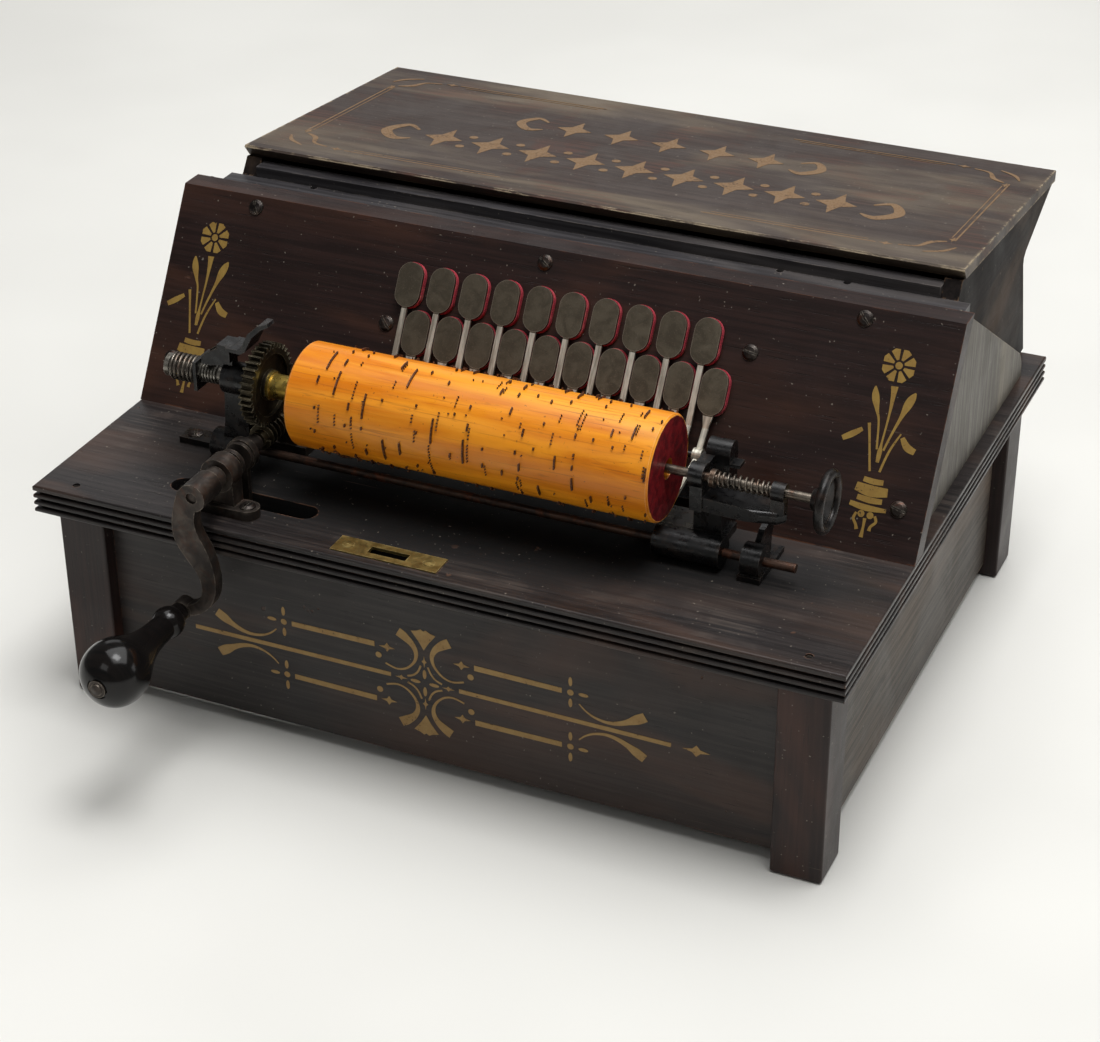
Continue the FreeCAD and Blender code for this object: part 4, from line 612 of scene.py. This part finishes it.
def lid_stencil():
    """A worn double border with scrolled corners, and two rows of stars that end in crescents."""
    s = Stencil(lid_surface)
    for m in (-1, 1):
        s.band([(163.0 * m, 34.0, 0.8), (163.0 * m, 126.0, 0.8)], curved=False)
        s.band([(160.6 * m, 38.0, 0.5), (160.6 * m, 122.0, 0.5)], curved=False)
        for q, n in ((16.0, 1), (143.0, -1)):
            s.band([(132.0 * m, q, 0.8), (50.0 * m, q, 0.8)], curved=False)
            s.band([(128.0 * m, q + 2.6 * n, 0.5), (54.0 * m, q + 2.6 * n, 0.5)], curved=False)
            s.band([(160.0 * m, q + 16 * n, 1.0), (154.0 * m, q + 12 * n, 2.6), (150.0 * m, q + 4 * n, 1.6),
                    (142.0 * m, q + 1.5 * n, 1.0)])
            s.band([(166.0 * m, q + 10 * n, 0.8), (162.0 * m, q + 3 * n, 2.0), (154.0 * m, q - 2 * n, 0.9)])
            s.lozenge(136.5 * m, q + 0.5 * n, 3.4, 2.2)
            s.lozenge(161.8 * m, q + 19.5 * n, 2.0, 3.4)
    for p in range(-4, 5):
        s.lozenge(25.0 * p, 58.0, 10.0, 15.0)
    for p in range(-4, 4):
        s.spot(25.0 * p + 12.5, 50.0, 2.2)
        s.spot(25.0 * p + 12.5, 66.0, 2.2)
    for p in range(-2, 3):
        s.lozenge(25.0 * p, 102.0, 9.0, 13.0)
    for m in (-1, 1):
        s.band([(114.0 * m, 50.0, 1.0), (122.0 * m, 47.0, 5.0), (130.0 * m, 57.0, 5.4),
                (124.0 * m, 69.0, 3.6), (116.0 * m, 64.0, 1.4)])
        s.band([(64.0 * m, 95.0, 1.0), (71.0 * m, 92.0, 4.2), (78.0 * m, 101.0, 4.6), (73.0 * m, 111.0, 3.0),
                (66.0 * m, 107.0, 1.2)])
    s.finish("stencil_lid", LID_GOLD)


front_stencil()
flower_stencil("stencil_right", 164.1, 35.0)
flower_stencil("stencil_left", -167.9, 34.6)
lid_stencil()


def tube(path, radius, sides=8):
    """A closed round wire through points, as a mesh."""
    made = bmesh.new()
    rings = []
    up = Vector((0, 0, 1))
    for i, point in enumerate(path):
        ahead = (path[min(i + 1, len(path) - 1)] - path[max(i - 1, 0)]).normalized()
        side = ahead.cross(up)
        if side.length < 0.1:
            side = ahead.cross(Vector((0, 1, 0)))
        side.normalize()
        up = side.cross(ahead).normalized()
        rings.append([made.verts.new(point + radius * (math.cos(2 * math.pi * k / sides) * side
                                                       + math.sin(2 * math.pi * k / sides) * up))
                      for k in range(sides)])
    for a, b in zip(rings, rings[1:]):
        for k in range(sides):
            made.faces.new((a[k], a[(k + 1) % sides], b[(k + 1) % sides], b[k]))
    made.faces.new(rings[0][::-1])
    made.faces.new(rings[-1])
    bmesh.ops.recalc_face_normals(made, faces=made.faces)
    return made


STEPS_PER_TURN = 24


def spring(name, node, wire_r, coil_r, turns, body):
    """A coil of wire in place of the plain CAD coil, with its end turns a little closer together."""
    low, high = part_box(node)
    x0, x1 = low.x + wire_r, high.x - wire_r
    axis = place(0, *ROLLER_YZ)
    steps = STEPS_PER_TURN * turns
    path = []
    for i in range(steps + 1):
        t = i / steps
        eased = 0.5 - 0.5 * math.cos(math.pi * t)
        x = x0 + (x1 - x0) * (0.75 * t + 0.25 * eased)
        a = 2 * math.pi * turns * t
        path.append(Vector((x, axis.y + coil_r * math.cos(a), axis.z + coil_r * math.sin(a))))
    mesh = bpy.data.meshes.new(name)
    made = tube(path, wire_r)
    made.to_mesh(mesh)
    made.free()
    mesh.shade_smooth()
    out = piece(name, mesh, DARK_STEEL, body)
    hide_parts(node)
    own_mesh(out)


spring("arbor_spring_coil", "arbor_spring", 0.5 * MM, 2.9 * MM, 10, "carriage")
spring("feed_spring_coil", "feed_spring", 0.8 * MM, 5.6 * MM, 6, "case")


PINS_PER_KEY = 9
PIN_RINGS = (-1.9, -1.0, 0.0, 1.0, 1.9)
ROW_LENGTHS = (1, 1, 1, 2, 3, 4, 6)
ROW_STEP = 3.6
PIN_SINK = 0.4
PIN_STANDS = (0.8, 1.15)


def fine_pins():
    """Single pins and short rows of them among the long bridges.

    The middle three of the five rings at each key are the turns of the tune's spiral.
    """
    rng = random.Random(1911)
    made = bmesh.new()
    axis = place(0, *ROLLER_YZ)
    for i in range(KEY_COUNT):
        for _ in range(PINS_PER_KEY):
            x = (KEY_FIRST_X + KEY_PITCH * i + rng.choice(PIN_RINGS)) * MM
            start = rng.uniform(0, 360)
            for k in range(rng.choice(ROW_LENGTHS)):
                a = math.radians(start + ROW_STEP * k)
                out = Vector((0, math.cos(a), math.sin(a)))
                foot = Vector((x, axis.y, axis.z)) + out * (ROLLER_R - PIN_SINK) * MM
                tip = Vector((x, axis.y, axis.z)) + out * (ROLLER_R + rng.uniform(*PIN_STANDS)) * MM
                side = Vector((1, 0, 0))
                across = out.cross(side)
                rings = []
                for centre, r in ((foot, 0.36), (tip - out * 0.15 * MM, 0.34), (tip, 0.18)):
                    rings.append([made.verts.new(centre + r * MM * (side * math.cos(math.pi * s / 3)
                                                                    + across * math.sin(math.pi * s / 3)))
                                  for s in range(6)])
                for lower, upper in zip(rings, rings[1:]):
                    for s in range(6):
                        made.faces.new((lower[s], lower[(s + 1) % 6], upper[(s + 1) % 6], upper[s]))
                made.faces.new(rings[0][::-1])
                made.faces.new(rings[-1])
    bmesh.ops.recalc_face_normals(made, faces=made.faces)
    mesh = bpy.data.meshes.new("single_pins")
    made.to_mesh(mesh)
    made.free()
    piece("single_pins", mesh, PIN_STEEL, "roller_assembly")


fine_pins()


BELLOWS_HINGE = (112.0, 85.0)
CLOTH_FRONT_Y = -106.0
CLOTH_REAR_Y = 100.0
CLOTH_INSET = 2.6
CLOTH_T = 0.7
CLOTH_FOOT_DROP = 0.9
CLOTH_SAG = 0.25
FOLD_DEPTH = 4.5
FOLD_SHARE = 0.16
FOLDS = 3
SIDE_STEPS = 24
FRONT_STEPS = 20


def board_point(y, opening):
    """Where a point of the hinged board comes to when the board hangs open by this many degrees."""
    lean = math.radians(opening)
    dy, dz = y - BELLOWS_HINGE[0], -CLOTH_FOOT_DROP
    return (BELLOWS_HINGE[0] + dy * math.cos(lean) - dz * math.sin(lean),
            BELLOWS_HINGE[1] + dy * math.sin(lean) + dz * math.cos(lean))


def cloth_plan(x0, x1):
    """The line that the cloth follows: forward on the left side, across the front and back on the right."""
    left, right = x0 + CLOTH_INSET, x1 - CLOTH_INSET
    depth = CLOTH_FRONT_Y - CLOTH_REAR_Y
    plan = [(left, CLOTH_REAR_Y + depth * i / SIDE_STEPS) for i in range(SIDE_STEPS + 1)]
    plan += [(left + (right - left) * i / FRONT_STEPS, CLOTH_FRONT_Y) for i in range(1, FRONT_STEPS)]
    plan += [(right, CLOTH_FRONT_Y - depth * i / SIDE_STEPS) for i in range(SIDE_STEPS + 1)]
    return plan


def bellows(name, node, x0, x1, opening):
    """A pleated gusset round three sides of a hanging bellows board, open where the hinge is."""
    top_z = 85.9
    plan = cloth_plan(x0, x1)
    left_corner, right_corner = SIDE_STEPS, SIDE_STEPS + FRONT_STEPS
    rng = random.Random(7)
    sag = [rng.uniform(-CLOTH_SAG, CLOTH_SAG) for _ in plan]
    levels = 6 * FOLDS
    made = bmesh.new()
    rows = []
    for j in range(levels + 1):
        t = j / levels
        slack = 1.0 - abs((t * FOLDS) % 1.0 - 0.5) * 2.0
        row = []
        for k, (x, y) in enumerate(plan):
            low_y, low_z = board_point(y, opening)
            z = top_z + (low_z - top_z) * t
            depth = (min(FOLD_DEPTH, FOLD_SHARE * (top_z - low_z)) + sag[k]) * slack
            inward_x = depth if k <= left_corner else (-depth if k >= right_corner else 0.0)
            inward_y = depth if left_corner <= k <= right_corner else 0.0
            row.append(made.verts.new(place(x + inward_x, y + (low_y - y) * t + inward_y, z)))
        rows.append(row)
    for a, b in zip(rows, rows[1:]):
        for k in range(len(plan) - 1):
            made.faces.new((a[k], a[k + 1], b[k + 1], b[k]))
    area = sum(face.calc_area() for face in made.faces)
    bmesh.ops.recalc_face_normals(made, faces=made.faces)
    bmesh.ops.solidify(made, geom=made.faces[:], thickness=CLOTH_T * MM)
    mesh = bpy.data.meshes.new(name)
    made.to_mesh(mesh)
    made.free()
    mesh.shade_smooth()
    out = piece(name, mesh, CLOTH, "case")
    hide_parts(node)
    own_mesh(out)


bellows("feeder_gusset", "feeder_cloth", -150.0, -4.0, 12.0)
bellows("reservoir_gusset", "reservoir_cloth", 4.0, 150.0, 9.0)


# ------------------------------------------------------------------ floor, light and camera
def floor():
    f = Finish("pale_floor", rough=0.85)
    soft = f.noise(3.0, 3, 0.5)
    f.bump(f.noise(500, 3), 0.1 * MM, 0.2)
    material = f.done(f.mix(f.step(soft, 0.35, 0.65), srgb(232, 231, 226), srgb(225, 224, 219)))
    bpy.ops.mesh.primitive_plane_add(size=9.0, location=(0, 0, 0))
    made = bpy.context.object
    made.name = "floor"
    made.data.materials.append(material)


def lamp(name, location, target, size, watts):
    data = bpy.data.lights.new(name, "AREA")
    data.shape = "RECTANGLE"
    data.size, data.size_y = size
    data.energy = watts
    made = bpy.data.objects.new(name, data)
    bpy.context.scene.collection.objects.link(made)
    made.location = location
    made.rotation_euler = (Vector(target) - Vector(location)).to_track_quat("-Z", "Y").to_euler()


floor()
lamp("overhead", (0.30, 0.25, 2.3), (0, -0.1, 0.0), (2.6, 2.2), 50)
lamp("key", (0.32, -0.12, 2.2), (0, -0.1, 0.0), (0.8, 0.8), 20)
lamp("behind", (-1.1, 2.6, 1.15), (0, 0.05, 0.2), (2.8, 1.5), 9)
lamp("right_side", (2.4, 1.2, 0.9), (0.15, 0, 0.1), (1.4, 1.0), 8)
lamp("front_fill", (-0.5, -1.9, 1.5), (0.05, 0, 0.15), (0.9, 0.7), 2.5)
world = bpy.data.worlds.new("soft_room")
world.use_nodes = True
world.node_tree.nodes["Background"].inputs["Color"].default_value = (1.0, 0.99, 0.96, 1.0)
world.node_tree.nodes["Background"].inputs["Strength"].default_value = 0.11
bpy.context.scene.world = world
bpy.context.scene.view_settings.view_transform = "Standard"


CAMERA_TURNS = (24.29, 30.30, -0.32)
CAMERA_AT = (428.9, -964.0, 672.3)
LENS = 84.41
SENSOR = 36.0


def camera():
    azimuth, elevation, roll = (math.radians(a) for a in CAMERA_TURNS)
    back = Vector((math.sin(azimuth) * math.cos(elevation), -math.cos(azimuth) * math.cos(elevation),
                   math.sin(elevation)))
    right = Vector((math.cos(azimuth), math.sin(azimuth), 0))
    up = back.cross(right)
    turned_right = right * math.cos(roll) + up * math.sin(roll)
    turned_up = up * math.cos(roll) - right * math.sin(roll)
    data = bpy.data.cameras.new("photo_camera")
    data.sensor_width = SENSOR
    data.lens = LENS
    made = bpy.data.objects.new("photo_camera", data)
    bpy.context.scene.collection.objects.link(made)
    matrix = made.matrix_world.copy()
    for row in range(3):
        matrix[row][0], matrix[row][1], matrix[row][2] = turned_right[row], turned_up[row], back[row]
    matrix.translation = place(*CAMERA_AT)
    made.matrix_world = matrix
    bpy.context.scene.camera = made


camera()
